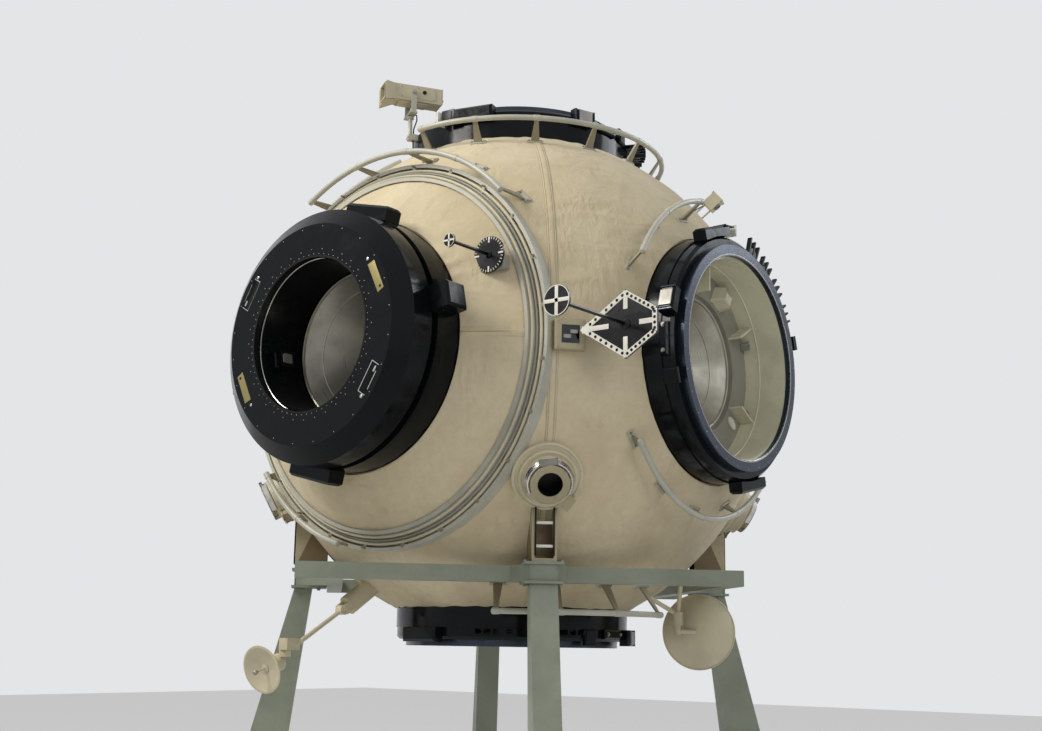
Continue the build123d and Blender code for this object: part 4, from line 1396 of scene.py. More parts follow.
@dataclass
class HatchTrim:
    """Rim, weld lines and the socket of a receiving cone, whose black floor is painted shade; they swing with its
    hatch.
    """

    port: Port
    long: float = 0.4
    socket_r: float = 0.095
    welds: tuple[float, ...] = (0.085, 0.31)

    def build(self, looks: Finishes) -> None:
        """Build the trim.

        Args:
            looks: the finishes.
        """
        seat, mouth = (1.520, 0.440) if self.port.deep else (1.380, 0.400)
        metal = looks.cone(self.port)
        form = Form(f"cone_trim_{self.port.key}", self.port.place, f"hatch_{self.port.key}")
        rim = [(-0.004, -0.004), (-0.001, 0.006), (0.006, 0.009), (0.010, 0.006), (0.010, -0.004)]
        form.lathe(HERE, moved(rim, mouth, seat), metal, 96)
        bottom = seat - self.long - 0.0003
        slope = (mouth - self.socket_r) / self.long
        weld = [(0.001, 0.004), (-0.0028, 0.001), (-0.0030, -0.002), (-0.002, -0.005)]
        for depth in self.welds:
            form.lathe(HERE, moved(weld, mouth - slope * depth, seat - 0.0003 - depth), metal, 72, shut=False)
        collar = [(0.096, 0.002), (0.088, 0.006), (0.080, 0.004), (0.078, -0.006), (0.078, -0.05)]
        form.lathe(HERE, moved(collar, 0.0, bottom), looks.chrome, 48, shut=False)
        # Black floor closing the socket: painted shade.
        floor = [(0.078, -0.045), (0.06, -0.052), (TIP_R, -0.054)]
        form.lathe(HERE, moved(floor, 0.0, bottom), looks.black_satin, 32, shut=False)
        for index in range(6):
            form.block(polar(30 + 60 * index, 0.086, bottom + 0.002), (0.014, 0.010, 0.012), looks.dull_metal, 0.002)
        form.done("cone")


@dataclass
class CableLines:
    """The cables that lie in the ring's channel, and the clips over them."""

    floor: float = 0.025
    clips: int = 24
    clip_r: float = 1.119
    clip_half: float = 0.043
    top: float = 1.237

    def build(self, looks: Finishes) -> None:
        """Build the lines and clips.

        Args:
            looks: the finishes.
        """
        form = Form("cable_ring_lines", Port.FRONT.place)
        cables = ((1.096, 0.009, looks.cream), (1.115, 0.007, looks.ribbed), (1.134, 0.010, looks.cream))
        for radius, size, look in cables:
            middle = math.sqrt(HULL_R ** 2 - radius ** 2) + self.floor + size
            form.lathe(HERE, bead(radius, middle, size), look, 144)
        peg = [(0.0052, 0.0), (0.0052, 0.022), (0.0035, 0.025), (TIP_R, 0.0255)]
        for index in range(self.clips):
            spot = polar(360 / self.clips * (index + 0.5), self.clip_r, self.top)
            form.block(spot @ at(0, 0, -0.0015), (0.094, 0.026, 0.005), looks.post, 0.0015)
            for x in (-self.clip_half, self.clip_half):
                form.bolt(spot @ at(x, 0.0, 0.0006), 0.0056, looks.post)
            if index % 2:
                form.lathe(spot @ at(self.clip_half, 0, 0.004), peg, looks.post, 12, shut=False)
        form.done("cable_ring")


@dataclass
class TargetMarks:
    """White edging, bars and dots of the two docking targets of one deep port."""

    port: Port
    large: Triple = (1.640, -0.008, 1.150)
    small: Triple = (0.879, 0.444, 1.385)
    strip: float = 0.030
    thick: float = 0.0012
    plate: float = 0.012
    small_r: float = 0.103
    border: tuple[tuple[float, float, int], ...] = (
        (-0.300, 0.0, 8), (0.0, 0.190, 7), (0.200, 0.068, 4), (0.200, -0.068, 7), (0.0, -0.190, 8),
    )
    bars: tuple[tuple[Triple, Triple], ...] = (
        ((0, 0.184, 0), (0, 0.082, 0)), ((0, -0.184, 0), (0, -0.070, 0)),
        ((0.196, 0, 0), (0.088, 0, 0)), ((-0.245, 0, 0), (-0.108, 0, 0)),
    )

    def bar(self, form: Form, one: Vector, two: Vector, wide: float, look: bpy.types.Material, level: float) -> None:
        """Lay a flat bar between two points of a target's face.

        Args:
            form: the piece that takes it.
            one: its start.
            two: its end.
            wide: its width.
            look: the finish.
            level: its lower face.
        """
        run = two - one
        middle = at((one.x + two.x) / 2, (one.y + two.y) / 2, level + self.thick / 2)
        turn = Matrix.Rotation(math.atan2(run.y, run.x), 4, "Z")
        form.block(middle @ turn, (run.length, wide, self.thick), look, 0.0004)

    def disc(self, name: str, place: Matrix, radius: float, arm: float, looks: Finishes) -> None:
        """Mark a target's front disc with a rim and a cross.

        Args:
            name: the piece's name.
            place: the disc's place in the port's.
            radius: the disc's radius.
            arm: width of the cross's arms.
            looks: the finishes.
        """
        form = Form(name, self.port.place @ place)
        for turn in (Vector((1, 0, 0)), Vector((0, 1, 0))):
            self.bar(form, turn * -radius * 0.99, turn * radius * 0.99, arm, looks.target_white, self.plate)
        inner, top = radius * 0.95, self.plate + self.thick
        ring = [(inner, self.plate), (radius, self.plate), (radius, top), (inner, top)]
        form.lathe(HERE, ring, looks.target_white, 40)
        form.done("target")

    def edging(self, form: Form, looks: Finishes) -> None:
        """Edge the large target with white strips and their black dots.

        Args:
            form: the piece.
            looks: the finishes.
        """
        for index, (x, y, count) in enumerate(self.border):
            one, two = Vector((x, y, 0)), Vector((*self.border[(index + 1) % len(self.border)][:2], 0))
            run = (two - one).normalized()
            inward = Vector((run.y, -run.x, 0)) * (self.strip / 2 + 0.001)
            start, end = one + inward + run * 0.006, two + inward - run * 0.006
            self.bar(form, start, end, self.strip, looks.target_white, self.plate)
            for step in range(count):
                spot = one.lerp(two, (step + 0.8) / (count + 0.6)) + inward
                dot = at(spot.x, spot.y, self.plate + 0.0017)
                form.lathe(dot, [(TIP_R, 0.0), (0.0090, 0.0)], looks.target_black, 14, shut=False)

    def build(self, looks: Finishes) -> None:
        """Build both targets' marks.

        Args:
            looks: the finishes.
        """
        large, small = at(*self.large), at(*self.small)
        form = Form(f"target_marks_large_{self.port.key}", self.port.place @ large)
        self.edging(form, looks)
        for one, two in self.bars:
            self.bar(form, Vector(one), Vector(two), 0.028, looks.target_white, self.plate + 0.0003)
        head = [(-0.297, 0.0), (-0.240, -0.040), (-0.232, 0.0), (-0.240, 0.040)]
        form.plate(at(0, 0, self.plate), head, 0.002, looks.target_white)
        foot = [(0.011, 0.0), (0.030, 0.0), (0.030, 0.004), (0.018, 0.014), (0.011, 0.018)]
        form.lathe(HERE, moved(foot, 0.0, self.plate), looks.target_black, 24)
        form.done("target")
        self.disc(f"target_disc_large_{self.port.key}", large @ at(0, 0, 0.628), 0.080, 0.020, looks)
        form = Form(f"target_marks_small_{self.port.key}", self.port.place @ small)
        for index in range(32):
            long, wide = (0.034, 0.010) if index % 8 == 0 else (0.014, 0.0045)
            angle = math.radians(11.25 * index)
            turn = Vector((math.cos(angle), math.sin(angle), 0))
            self.bar(form, turn * (self.small_r - long), turn * self.small_r, wide, looks.target_white, self.plate)
        foot = [(0.011, 0.0), (0.020, 0.0), (0.020, 0.006), (0.011, 0.012)]
        form.lathe(HERE, moved(foot, 0.0, self.plate), looks.target_black, 20)
        form.block(at(0.055, -0.045, -0.035), (0.075, 0.085, 0.06), looks.ribbed, 0.006)
        form.done("target")
        self.disc(f"target_disc_small_{self.port.key}", small @ at(0, 0, 0.345), 0.038, 0.010, looks)


@dataclass
class BossTrim:
    """Bright cup, collar, bore lined in black as painted shade, lug and welded rings of a lifting boss."""

    azimuth: float
    elevation: float = -27.8
    rings: tuple[Triple, ...] = ((0.198, 0.028, 0.011), (0.163, 0.062, 0.010), (0.139, 0.105, 0.007))

    def build(self, looks: Finishes) -> None:
        """Build the trim.

        Args:
            looks: the finishes.
        """
        form = Form(f"boss_trim_{self.azimuth:.0f}", on_hull(self.azimuth, self.elevation))
        cup = [(0.113, 0.112), (0.138, 0.108), (0.141, 0.116), (0.128, 0.142), (0.121, 0.145), (0.113, 0.140)]
        form.lathe(HERE, cup, looks.chrome, 40, -118.0, 236.0)
        form.block(polar(8, 0.128, 0.140), (0.03, 0.10, 0.012), looks.dull_metal, 0.004)
        collar = [(0.0712, 0.120), (0.0712, 0.1520), (0.078, 0.1535), (0.108, 0.1530), (0.112, 0.1500), (0.112, 0.120)]
        form.lathe(HERE, collar, looks.beige, 48)
        # Black lining down the bore: painted shade.
        form.lathe(HERE, [(0.0695, 0.148), (0.0690, 0.034), (TIP_R, 0.033)], looks.black_satin, 36, shut=False)
        for radius, low, size in self.rings:
            form.lathe(HERE, bead(radius - size * 0.7, low - size * 0.6, size, 10), looks.cream, 64)
        lug = polar(-140, 0.152, 0.070) @ Matrix.Rotation(0.3, 4, "Z")
        form.block(lug, (0.085, 0.066, 0.05), looks.beige, 0.010)
        form.done("boss")


@dataclass
class StrutTrim:
    """Black strips of painted shade for the slits, light cross bars and bolts of one support strut."""

    azimuth: float
    out: float = 1.405
    base: float = 2.055
    spread: float = 0.062

    def build(self, looks: Finishes) -> None:
        """Build the trim.

        Args:
            looks: the finishes.
        """
        normal = heading(self.azimuth)
        form = Form(f"strut_trim_{self.azimuth:.0f}", facing(UP * self.base + normal * self.out, UP, normal))
        for z in (0.085, 0.215):
            form.block(at(-0.012, 0, z), (0.022, 2 * self.spread - 0.02, 0.016), looks.target_white, 0.003)
        for side in (-1, 1):
            # Black strips stand for the two slits: painted shade.
            form.block(at(0.006, side * 0.052, 0.165), (0.005, 0.010, 0.27), looks.black_satin, 0.001)
            form.bolt(at(-0.03, side * 0.102, 0.0), 0.011, looks.dull_metal)
        form.done("strut")


@dataclass
class LampTrim:
    """Bevelled frame, dark window with two lamps, and screws of the lamp box."""

    azimuth: float = 47.8
    elevation: float = -0.6
    high: float = 0.080
    half: float = 0.085
    inner: float = 0.051
    screw: float = 0.072

    def build(self, looks: Finishes) -> None:
        """Build the trim.

        Args:
            looks: the finishes.
        """
        form = Form("lamp_trim", on_hull(self.azimuth, self.elevation))
        profile = [
            (self.inner, self.high - 0.012), (self.inner + 0.003, self.high + 0.0015),
            (self.half - 0.006, self.high + 0.0015), (self.half + 0.001, self.high - 0.005),
            (self.half + 0.001, self.high - 0.02),
        ]
        for turn in range(4):
            full = form.place @ Matrix.Rotation(turn * math.pi / 2, 4, "Z")
            form.skin([[full @ Vector((side * r, r, z)) for r, z in profile] for side in (-1, 1)], looks.beige)
        form.block(at(0, 0, self.high - 0.0115), (0.100, 0.100, 0.006), looks.glass, 0.001)
        for x, y in ((-0.012, 0.018), (0.016, -0.020)):
            form.block(at(x, y, self.high - 0.0080), (0.018, 0.040, 0.003), looks.ribbed, 0.001)
        for x, y in CORNERS:
            form.bolt(at(x * self.screw, y * self.screw, self.high + 0.001), 0.0048, looks.dull_metal)
        form.done("lamp")


@dataclass
class SensorTrim:
    """Lens, lid, screws and lead of the small sensor box on its two legs."""

    azimuth: float = 111.6
    elevation: float = 41.5
    out: float = 0.137
    screw: float = 0.033
    lead: tuple[Triple, ...] = (
        (0.030, 0, -0.046), (0.032, 0.004, -0.07), (0.040, 0.006, -0.10), (0.046, 0.004, -0.137),
    )

    def build(self, looks: Finishes) -> None:
        """Build the trim.

        Args:
            looks: the finishes.
        """
        form = Form("sensor_trim", on_hull(self.azimuth, self.elevation) @ at(0, 0, self.out))
        form.block(at(0, 0, 0.046), (0.084, 0.084, 0.010), looks.cream, 0.003)
        barrel = [(0.016, 0.0), (0.024, 0.0), (0.024, 0.008), (0.019, 0.010), (0.016, 0.002)]
        form.lathe(at(-0.041) @ FROM_X, barrel, looks.dull_metal, 24)
        form.lathe(at(-0.0412) @ FROM_X, [(TIP_R, 0.003), (0.016, 0.0015)], looks.glass, 24, shut=False)
        for x, y in CORNERS:
            form.bolt(at(x * self.screw, y * self.screw, 0.051), 0.004, looks.dull_metal)
        form.tube(self.lead, 0.0035, looks.black_satin)
        form.done("lamp")


@dataclass
class CameraTrim:
    """Open hood, lens, side covers and yoke fittings of the television camera."""

    azimuth: float = -31.8
    rho: float = 0.790
    high: float = 1.935
    long: float = 0.400
    wide: float = 0.128
    tall: float = 0.110
    hood: float = 0.073
    flare: float = 0.030
    droop: float = 0.026
    skin: float = 0.003
    base: float = 0.145
    lead: tuple[Triple, ...] = (
        (-0.010, 0.020, 0.004), (-0.036, 0.024, 0.006), (-0.040, 0.02, -0.03),
        (-0.022, 0.012, -0.09), (-0.021, 0.006, -0.16), (-0.025, 0.0, -0.23),
    )

    def place(self, drop: float = 0.0) -> Matrix:
        """The camera's middle, or a spot straight below it, with Z up and X forwards."""
        out = heading(self.azimuth)
        return facing(CENTRE + out * self.rho + UP * (self.high - drop), UP, out)

    def open_hood(self, form: Form, look: bpy.types.Material) -> None:
        """Open the hood: two side flaps and a sill, all flared towards the front.

        Args:
            form: the piece.
            look: the finish.
        """
        half, low, front = self.wide / 2, -self.tall / 2, self.long / 2 - 0.002
        back, top, lip, flared = front - self.hood, -low - 0.002, low - self.droop, half + self.flare
        for side in (-1, 1):
            flap = [Vector((back, side * half, low)), Vector((back, side * half, top)),
                    Vector((front, side * flared, top)), Vector((front, side * flared, lip))]
            inner = [corner - Vector((0, side * self.skin, 0)) for corner in flap]
            form.skin([form.spots(flap), form.spots(inner)], look, ring=True)
            form.panel(flap, look)
            form.panel(inner, look)
        sill = [Vector((back, -half, low)), Vector((back, half, low)),
                Vector((front, flared, lip)), Vector((front, -flared, lip))]
        form.panel(sill, look)
        form.panel([corner - UP * self.skin for corner in sill], look)

    def covers(self, form: Form, looks: Finishes) -> None:
        """Fit each side with a screwed cover, a plug and the pivot's cap.

        Args:
            form: the piece.
            looks: the finishes.
        """
        half = self.wide / 2
        for side in (-1, 1):
            turn = sideways(side)
            form.block(at(-0.03, side * (half + 0.001), 0.004), (0.24, 0.004, 0.082), looks.cream, 0.0015)
            for x in (-0.14, -0.03, 0.08):
                for z in (-0.030, 0.038):
                    form.bolt(at(x, side * (half + 0.003), z) @ turn, 0.0044, looks.dull_metal)
            form.cap(at(-0.075, side * (half + 0.003), 0.012) @ turn, 0.014, 0.006, 0.002, looks.black_satin, 20)
            form.cap(at(0, side * (half - 0.001), 0) @ turn, 0.019, 0.0055, 0.003, looks.dull_metal, 24, 0.0015)

    def mast(self, looks: Finishes) -> None:
        """Build the mast's collar, bolts and lead, which stay when the camera tilts.

        Args:
            looks: the finishes.
        """
        form = Form("camera_mast_trim", self.place(self.base))
        form.lathe(HERE, [(0.0155, -0.02), (0.024, -0.02), (0.024, -0.004), (0.0155, 0.0)], looks.rail, 24)
        for side in (-1, 1):
            form.bolt(at(0.0, side * 0.0825, self.base) @ sideways(side), 0.010, looks.dull_metal)
            form.bolt(at(0.014, side * 0.016, -0.155) @ TO_X, 0.006, looks.dull_metal)
        form.tube(self.lead, 0.005, looks.black_satin)
        form.done("aerial_metal")

    def build(self, looks: Finishes) -> None:
        """Build the trim on the camera and on its mast.

        Args:
            looks: the finishes.
        """
        form = Form("camera_trim", self.place(), "television_camera")
        self.open_hood(form, looks.cream)
        self.covers(form, looks)
        low, end = -self.tall / 2, self.long / 2
        lens = at(end - 0.11) @ TO_X
        barrel = [(0.026, 0.0), (0.046, 0.0), (0.046, 0.026), (0.043, 0.030), (0.034, 0.031), (0.028, 0.012)]
        form.lathe(lens, barrel, looks.black_satin, 36)
        form.lathe(lens, [(TIP_R, 0.024), (0.015, 0.022), (0.028, 0.014)], looks.glass, 32, shut=False)
        form.block(at(0, 0, low - 0.004), (0.20, 0.09, 0.010), looks.cream, 0.003)
        form.block(at(-end + 0.004), (0.010, self.wide + 0.006, self.tall - 0.004), looks.cream, 0.003)
        form.cap(at(-end - 0.0005, 0.02, -0.01) @ FROM_X, 0.012, 0.020, 0.002, looks.dull_metal, 20, 0.006)
        form.settle(self.tall / 2, 0.001, 0.5)
        form.done("camera")
        self.mast(looks)


@dataclass
class DishTrim:
    """Rolled rim, hub and feed of one dish aerial."""

    name: str
    centre: Triple
    out: Triple
    radius: float
    share: float = 0.28
    roll: float = 0.004

    def build(self, looks: Finishes) -> None:
        """Build the trim.

        Args:
            looks: the finishes.
        """
        out = Vector(self.out)
        form = Form(f"{self.name}_trim", facing(Vector(self.centre), out, UP.cross(out)), self.name)
        form.lathe(HERE, bead(self.radius - 0.003, -self.roll, self.roll), looks.cream, 72)
        feed = [(TIP_R, 0.066), (0.010, 0.064), (0.016, 0.054), (0.012, 0.040), (0.007, 0.034)]
        form.lathe(HERE, feed, looks.dull_metal, 24, shut=False)
        form.tube([(0, 0, self.back(0.0) + 0.004), (0, 0, 0.0), (0, 0, 0.05)], 0.0055, looks.cream, 10)
        hub = [(0.028, 0.004), (0.026, 0.012), (0.012, 0.016), (0.0056, 0.018)]
        form.lathe(at(0, 0, self.back(0.028)), hub, looks.cream, 24, shut=False)
        form.done("aerial")

    def back(self, radius: float) -> float:
        """The height of the dish's round face at a radius, below its rim.

        Args:
            radius: distance from its axis.

        Returns:
            The height.
        """
        depth = self.radius * self.share
        ball = (self.radius ** 2 + depth ** 2) / (2 * depth)
        return ball - depth - math.sqrt(ball ** 2 - radius ** 2)


class Footing(Enum):
    """How the posts of a handrail meet the hull."""

    SQUARE = "square to the hull"
    AXIAL = "along the port's axis"
    RING = "on the cable ring"


@dataclass(frozen=True)
class Rail:
    """One curved handrail bar, which lies on a cone round its port's axis."""

    node: str
    port: Port
    tilt: float
    height: float
    first: float
    last: float
    footing: Footing = Footing.SQUARE

    @property
    def axial(self) -> float:
        """How far the bar is from the hull's centre along the port's axis."""
        return (HULL_R + self.height) * math.cos(math.radians(self.tilt))

    @property
    def radius(self) -> float:
        """The bar's distance from the port's axis."""
        return (HULL_R + self.height) * math.sin(math.radians(self.tilt))

    def point(self, angle: float) -> Vector:
        """A point of the bar's middle line.

        Args:
            angle: degrees round the port's axis.

        Returns:
            The point in the row's frame.
        """
        zero = self.port.place.to_3x3() @ Vector((1, 0, 0))
        quarter = Vector((0, 1, 0)) if self.port.axis.z else UP
        turn = math.radians(angle)
        across = zero * math.cos(turn) + quarter * math.sin(turn)
        return CENTRE + self.port.axis * self.axial + across * self.radius

    def run(self, angle: float) -> Vector:
        """The bar's direction at an angle."""
        return (self.point(angle + 0.5) - self.point(angle - 0.5)).normalized()

    def foot(self, middle: Vector) -> Vector:
        """The hull's normal where a post meets it.

        Args:
            middle: the post's other end, on the bar.

        Returns:
            The unit normal.
        """
        if self.footing is Footing.AXIAL:
            flat = math.sqrt(HULL_R ** 2 - self.radius ** 2)
            middle = middle - self.port.axis * (self.axial - flat)
        return (middle - CENTRE).normalized()


@dataclass
class RailTrim:
    """Sleeves, foot pads and end caps of the handrails."""

    tube_r: float = 0.017
    post_pitch: float = 22.0
    rails: tuple[Rail, ...] = (
        Rail("handrails_front", Port.FRONT, 42.83, 0.1636, 43.0, 122.0, Footing.AXIAL),
        Rail("handrails_front", Port.FRONT, 41.67, 0.1052, 215.0, 255.0, Footing.RING),
        Rail("handrails_right", Port.RIGHT, 32.18, 0.1753, 100.0, 150.0),
        Rail("handrails_right", Port.RIGHT, 32.81, 0.1050, 217.0, 316.0),
        Rail("handrails_rear", Port.REAR, 42.83, 0.1636, 43.0, 122.0, Footing.AXIAL),
        Rail("handrails_rear", Port.REAR, 41.67, 0.1052, 225.0, 255.0, Footing.AXIAL),
        Rail("handrails_left", Port.LEFT, 32.18, 0.1753, 100.0, 150.0),
        Rail("handrails_left", Port.LEFT, 32.81, 0.1050, 217.0, 316.0),
        Rail("handrail_top", Port.TOP, 32.85, 0.1605, -93.0, 47.0),
        Rail("handrail_bottom", Port.BOTTOM, 35.99, 0.2186, -58.0, 3.0),
    )

    def on_bar(self, node: str, spot: Vector) -> bool:
        """Whether a spot lies on the round bar of a handrail.

        Args:
            node: the handrail's node.
            spot: a point in the row's frame.

        Returns:
            True on the bar, False on a post.
        """
        for rail in self.rails:
            if rail.node == node:
                offset = spot - CENTRE
                up = offset.dot(rail.port.axis)
                radius = (offset - rail.port.axis * up).length
                if math.hypot(up - rail.axial, radius - rail.radius) < self.tube_r + 0.002:
                    return True
        return False

    def dress(self, form: Form, rail: Rail, looks: Finishes) -> None:
        """Fit one bar's ends and posts.

        Args:
            form: the piece that takes them.
            rail: the bar.
            looks: the finishes.
        """
        size = self.tube_r
        end = [(size, -0.001), (size * 0.92, 0.004), (size * 0.6, 0.008), (TIP_R, 0.0095)]
        sleeve = [(size - 0.001, -0.022), (size + 0.0025, -0.019), (size + 0.0025, 0.019), (size - 0.001, 0.022)]
        for angle, ahead in ((rail.first, -1), (rail.last, 1)):
            cap = facing(rail.point(angle), rail.run(angle) * ahead, rail.port.axis)
            form.lathe(cap, end, looks.rail, 20, shut=False)
        steps = max(2, round((rail.last - rail.first) / self.post_pitch))
        inset = size / rail.radius * 60
        for index in range(steps + 1):
            angle = rail.first + inset + (rail.last - rail.first - 2 * inset) * index / steps
            middle, run = rail.point(angle), rail.run(angle)
            form.lathe(facing(middle, run, rail.port.axis), sleeve, looks.rail, 20, shut=False)
            if rail.footing is Footing.RING:
                continue
            normal = rail.foot(middle)
            pad = facing(CENTRE + normal * (HULL_R + 0.010), normal, run)
            form.block(pad, (0.100, 0.036, 0.010), looks.rail, 0.004)
            for x in (-0.040, 0.040):
                form.bolt(pad @ at(x, 0, 0.005), 0.0065, looks.dull_metal)

    def build(self, looks: Finishes) -> None:
        """Build the trim.

        Args:
            looks: the finishes.
        """
        for node in dict.fromkeys(rail.node for rail in self.rails):
            form = Form(f"{node}_trim")
            for rail in self.rails:
                if rail.node == node:
                    self.dress(form, rail, looks)
            form.done("handrail")


@dataclass
class RibLiner:
    """Black strip inside the perforated rib, painted shade that is seen through its holes."""

    azimuth: float = -45.0
    first: float = 35.0
    last: float = 61.5
    low: float = 0.014
    high: float = 0.078
    thick: float = 0.004
    steps: int = 32

    def build(self, looks: Finishes) -> None:
        """Build the strip.

        Args:
            looks: the finishes.
        """
        side = heading(self.azimuth).cross(UP) * (self.thick / 2)
        rows = []
        for step in range(self.steps + 1):
            out = heading(self.azimuth, self.first + (self.last - self.first) * step / self.steps)
            near, far = CENTRE + out * (HULL_R + self.low), CENTRE + out * (HULL_R + self.high)
            rows.append([near + side, far + side, far - side, near - side])
        form = Form("rib_liner")
        form.skin(rows, looks.black_satin, ring=True)
        form.done("rib")


@dataclass
class StandTrim:
    """Weld beads, bolts and end caps of one corner of the stand."""

    name: str
    azimuth: float
    capped: bool
    beam_rho: float = 1.150
    beam_wide: float = 0.100
    beam_low: float = 1.948
    beam_top: float = 2.040
    head_out: float = 1.400
    plate: float = 0.015
    weld: float = 0.0045

    def build(self, looks: Finishes) -> None:
        """Build the trim.

        Args:
            looks: the finishes.
        """
        form = Form(f"stand_trim_{self.name}", facing(Vector((0, 0, 0)), UP, heading(self.azimuth)))
        flip = Matrix.Rotation(math.pi, 4, "X")
        for level, turn in ((self.beam_top + self.plate, HERE), (self.beam_low - self.plate, flip)):
            for x in (self.head_out - 0.045, self.head_out - 0.150):
                for y in (-0.088, 0.088):
                    form.bolt(at(x, y, level) @ turn, 0.010, looks.stand_bolt)
        for z in (self.beam_low + 0.002, self.beam_top - 0.002):
            line = [(self.head_out + 0.0005, y, z) for y in (-0.073, -0.03, 0.03, 0.073)]
            form.tube(line, self.weld, looks.stand)
        for y in (-0.0765, 0.0765):
            line = [(self.head_out - 0.001, y, z) for z in (self.beam_low, self.beam_low + 0.045, self.beam_top)]
            form.tube(line, self.weld, looks.stand)
        if self.capped:
            middle = (self.beam_low + self.beam_top) / 2
            for y, side in ((-self.beam_rho - 0.220, -1), (self.beam_rho + self.beam_wide / 2, 1)):
                form.block(at(self.beam_rho, y - side * 0.001, middle), (0.094, 0.006, 0.086), looks.stand, 0.002)
        form.done("stand")


@dataclass
class Studio:
    """Camera, lamps, world and floor."""

    lens: float = 48.04
    eye: Triple = (5.627, -7.241, 1.601)
    azimuth: float = 37.640
    pitch: float = 11.345
    roll: float = 0.888
    soft: tuple[Triple, float] = ((0.80, 0.81, 0.84), 0.45)
    pale: tuple[Triple, float] = ((0.84, 0.85, 0.87), 0.92)
    floor_half: float = 30.0
    lamps: tuple[tuple[str, Triple, float, float, Triple], ...] = (
        ("key", (-3.0, -7.0, 5.5), 3.2, 650.0, (1.0, 0.97, 0.92)),
        ("fill", (8.0, -4.0, 2.0), 3.0, 105.0, (0.95, 0.97, 1.0)),
        ("back", (5.0, 7.0, 5.0), 4.0, 260.0, (0.9, 0.95, 1.0)),
    )

    def camera(self) -> None:
        """Set the camera at the photograph's view."""
        az, pitch, roll = (math.radians(v) for v in (self.azimuth, self.pitch, self.roll))
        ahead = Vector((-math.sin(az) * math.cos(pitch), math.cos(az) * math.cos(pitch), math.sin(pitch)))
        right = Vector((math.cos(az), math.sin(az), 0.0))
        over = right.cross(ahead)
        tilted_right = right * math.cos(roll) + over * math.sin(roll)
        tilted_over = over * math.cos(roll) - right * math.sin(roll)
        data = bpy.data.cameras.new("view")
        data.lens = self.lens
        data.sensor_width = 36.0
        data.clip_end = 200.0
        camera = link("view", data)
        turn = Matrix((tilted_right, tilted_over, -ahead)).transposed().to_4x4()
        camera.matrix_world = Matrix.Translation(Vector(self.eye)) @ turn
        bpy.context.scene.camera = camera

    def lamp(self, name: str, offset: Triple, size: float, watts: float, tint: Triple) -> None:
        """Add one soft square lamp that looks at the hull.

        Args:
            name: the lamp's name.
            offset: its place from the hull's centre.
            size: its side in metres.
            watts: its power.
            tint: its colour.
        """
        data = bpy.data.lights.new(name, "AREA")
        data.size = size
        data.energy = watts
        data.color = tint
        away = Vector(offset)
        link(name, data).matrix_world = facing(CENTRE + away, away, UP)

    def world(self) -> None:
        """Pale backdrop for the camera and reflections, and a plain soft light for the rest."""
        world = bpy.data.worlds.new("studio")
        bpy.context.scene.world = world
        world.use_nodes = True
        tree = world.node_tree
        tree.nodes.clear()
        output = tree.nodes.new("ShaderNodeOutputWorld")
        mix = tree.nodes.new("ShaderNodeMixShader")
        for slot, (colour, strength) in enumerate((self.soft, self.pale), 1):
            light = tree.nodes.new("ShaderNodeBackground")
            light.inputs[0].default_value = (*colour, 1.0)
            light.inputs[1].default_value = strength
            tree.links.new(light.outputs[0], mix.inputs[slot])
        rays = tree.nodes.new("ShaderNodeLightPath")
        seen = rays.outputs["Is Camera Ray"]
        for other in ("Is Glossy Ray", "Is Transmission Ray"):
            most = tree.nodes.new("ShaderNodeMath")
            most.operation = "MAXIMUM"
            tree.links.new(seen, most.inputs[0])
            tree.links.new(rays.outputs[other], most.inputs[1])
            seen = most.outputs[0]
        tree.links.new(seen, mix.inputs[0])
        tree.links.new(mix.outputs[0], output.inputs[0])

    def floor(self, material: bpy.types.Material) -> None:
        """Lay the floor.

        Args:
            material: its finish.
        """
        mesh = bpy.data.meshes.new("floor")
        corners = [(x * self.floor_half, y * self.floor_half, 0) for x, y in ((-1, -1), (1, -1), (1, 1), (-1, 1))]
        mesh.from_pydata(corners, [], [(0, 1, 2, 3)])
        mesh.materials.append(material)
        floor = link("floor", mesh)
        floor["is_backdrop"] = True

    def build(self, looks: Finishes) -> None:
        """Set up the whole studio.

        Args:
            looks: the finishes, for the floor's own.
        """
        bpy.context.scene.view_settings.view_transform = "Standard"
        self.camera()
        self.world()
        self.floor(looks.floor)
        for lamp in self.lamps:
            self.lamp(*lamp)


def split(node: bpy.types.Object, look: bpy.types.Material, test: Callable[[Vector], bool]) -> None:
    """Give part of a node's faces a second finish.

    Args:
        node: the node.
        look: the second finish.
        test: tells by a face's middle whether it takes it.
    """
    node.data.materials.append(look)
    for face in node.data.polygons:
        face.material_index = 1 if test(face.center) else 0


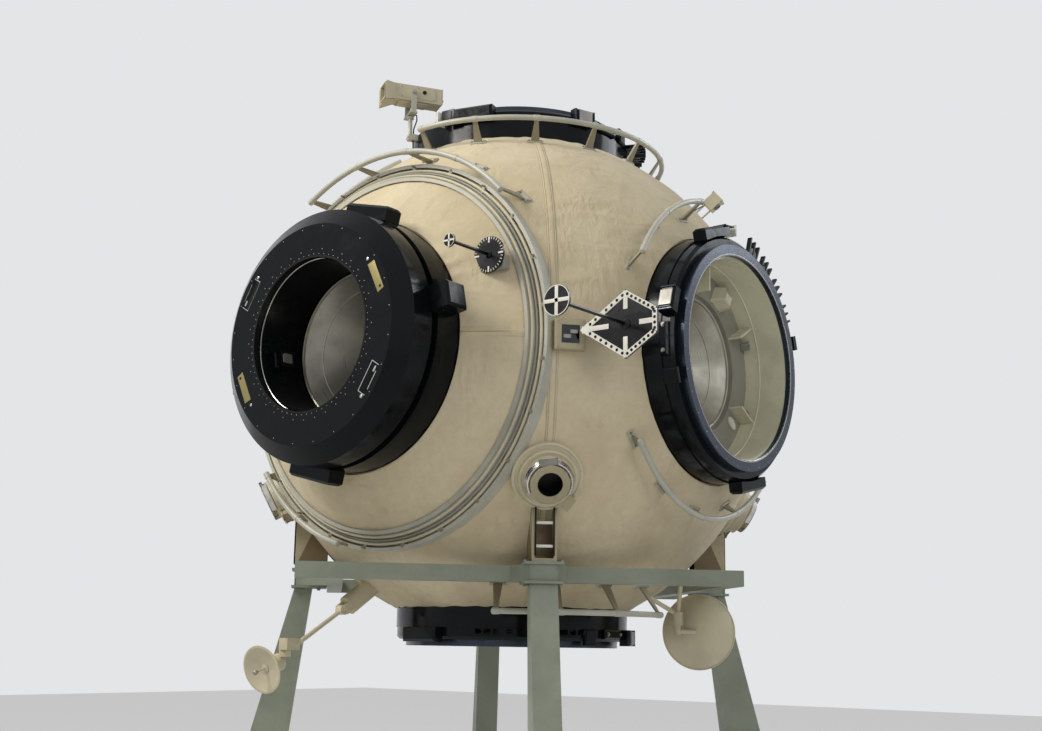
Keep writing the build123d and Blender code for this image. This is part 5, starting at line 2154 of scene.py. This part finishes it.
def dress(nodes: dict[str, bpy.types.Object], looks: Finishes, rails: RailTrim) -> None:
    """Give every CAD node that stays in sight its finish.

    Args:
        nodes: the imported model's nodes by name.
        looks: the finishes.
        rails: the handrails' bars, which tell a bar from its posts.
    """
    table = (
        ("hull_", looks.blanket), ("port_necks", looks.black), ("hatch_seats", looks.ribbed),
        ("docking_ring", looks.black), ("seal_rings", looks.silver), ("throat_liners", looks.throat),
        ("cable_ring", looks.rail), ("handrail", looks.rail), ("perforated_rib", looks.rail),
        ("lifting_bosses", looks.cream), ("support_struts", looks.beige), ("stand_", looks.stand),
        ("camera_mast", looks.rail), ("television_camera", looks.cream), ("aerial_", looks.cream),
        ("target_", looks.target_black), ("lamp_box", looks.beige), ("sensor_box", looks.cream),
        *((f"hatch_{port.key}", looks.cone(port)) for port in Port),
    )
    for name, node in nodes.items():
        node.data.materials.clear()
        node.data.materials.append(next(look for start, look in table if name.startswith(start)))
        if name.startswith("hull_"):
            split(node, looks.cabin, lambda middle: (middle - CENTRE).length < CABIN_R)
        elif name.startswith("handrail"):
            split(node, looks.post, lambda middle: not rails.on_bar(name, middle))
    split(nodes["hatch_seats"], looks.black, lambda middle: abs(middle.y) > DEEP_Y)
    split(nodes["seal_rings"], looks.black_satin, lambda middle: abs(middle.y) > DEEP_Y)
    # The struts' hollows take the darker brown of painted shade.
    split(nodes["support_struts"], looks.recess, lambda middle: middle.xy.length < RECESS_R and middle.z > RECESS_LOW)


def main() -> None:
    """Build the looks in order."""
    logging.basicConfig(level=logging.INFO, format="%(name)s %(message)s")
    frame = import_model()
    low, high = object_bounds()
    looks = Finishes()
    Studio().build(looks)
    rails = RailTrim()
    dress(frame["nodes"], looks, rails)
    cloth = Blankets()
    cloth.sheets(looks.blanket)
    cloth.seams(looks.blanket)
    for port in Port:
        (DeepPortTrim(port) if port.deep else ShortPortTrim(port)).build(looks)
        HatchTrim(port).build(looks)
        if port.deep:
            DeepRing(port).build(frame["nodes"])
            TargetMarks(port).build(looks)
    for trim in (CableLines(), rails, RibLiner()):
        trim.build(looks)
    for azimuth in QUARTERS:
        BossTrim(azimuth).build(looks)
        StrutTrim(azimuth).build(looks)
    for trim in (LampTrim(), SensorTrim(), CameraTrim()):
        trim.build(looks)
    for azimuth, name in zip(QUARTERS, ("front", "right", "rear", "left")):
        StandTrim(name, azimuth, name in ("front", "rear")).build(looks)
    left_dish = DishTrim("aerial_left_dish", centre=(-0.690, -1.510, 1.431), out=(0.05, -0.95, -0.3), radius=0.145)
    right_dish = DishTrim("aerial_right_dish", centre=(1.100, 0.500, 1.695), out=(-0.25, 0.96, 0.0), radius=0.235)
    left_dish.build(looks)
    right_dish.build(looks)
    new_low, new_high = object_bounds()
    grown = [(low[i] - new_low[i], new_high[i] - high[i]) for i in range(3)]
    LOG.info("box grew by %s", grown)


if __name__ == "__main__":
    main()
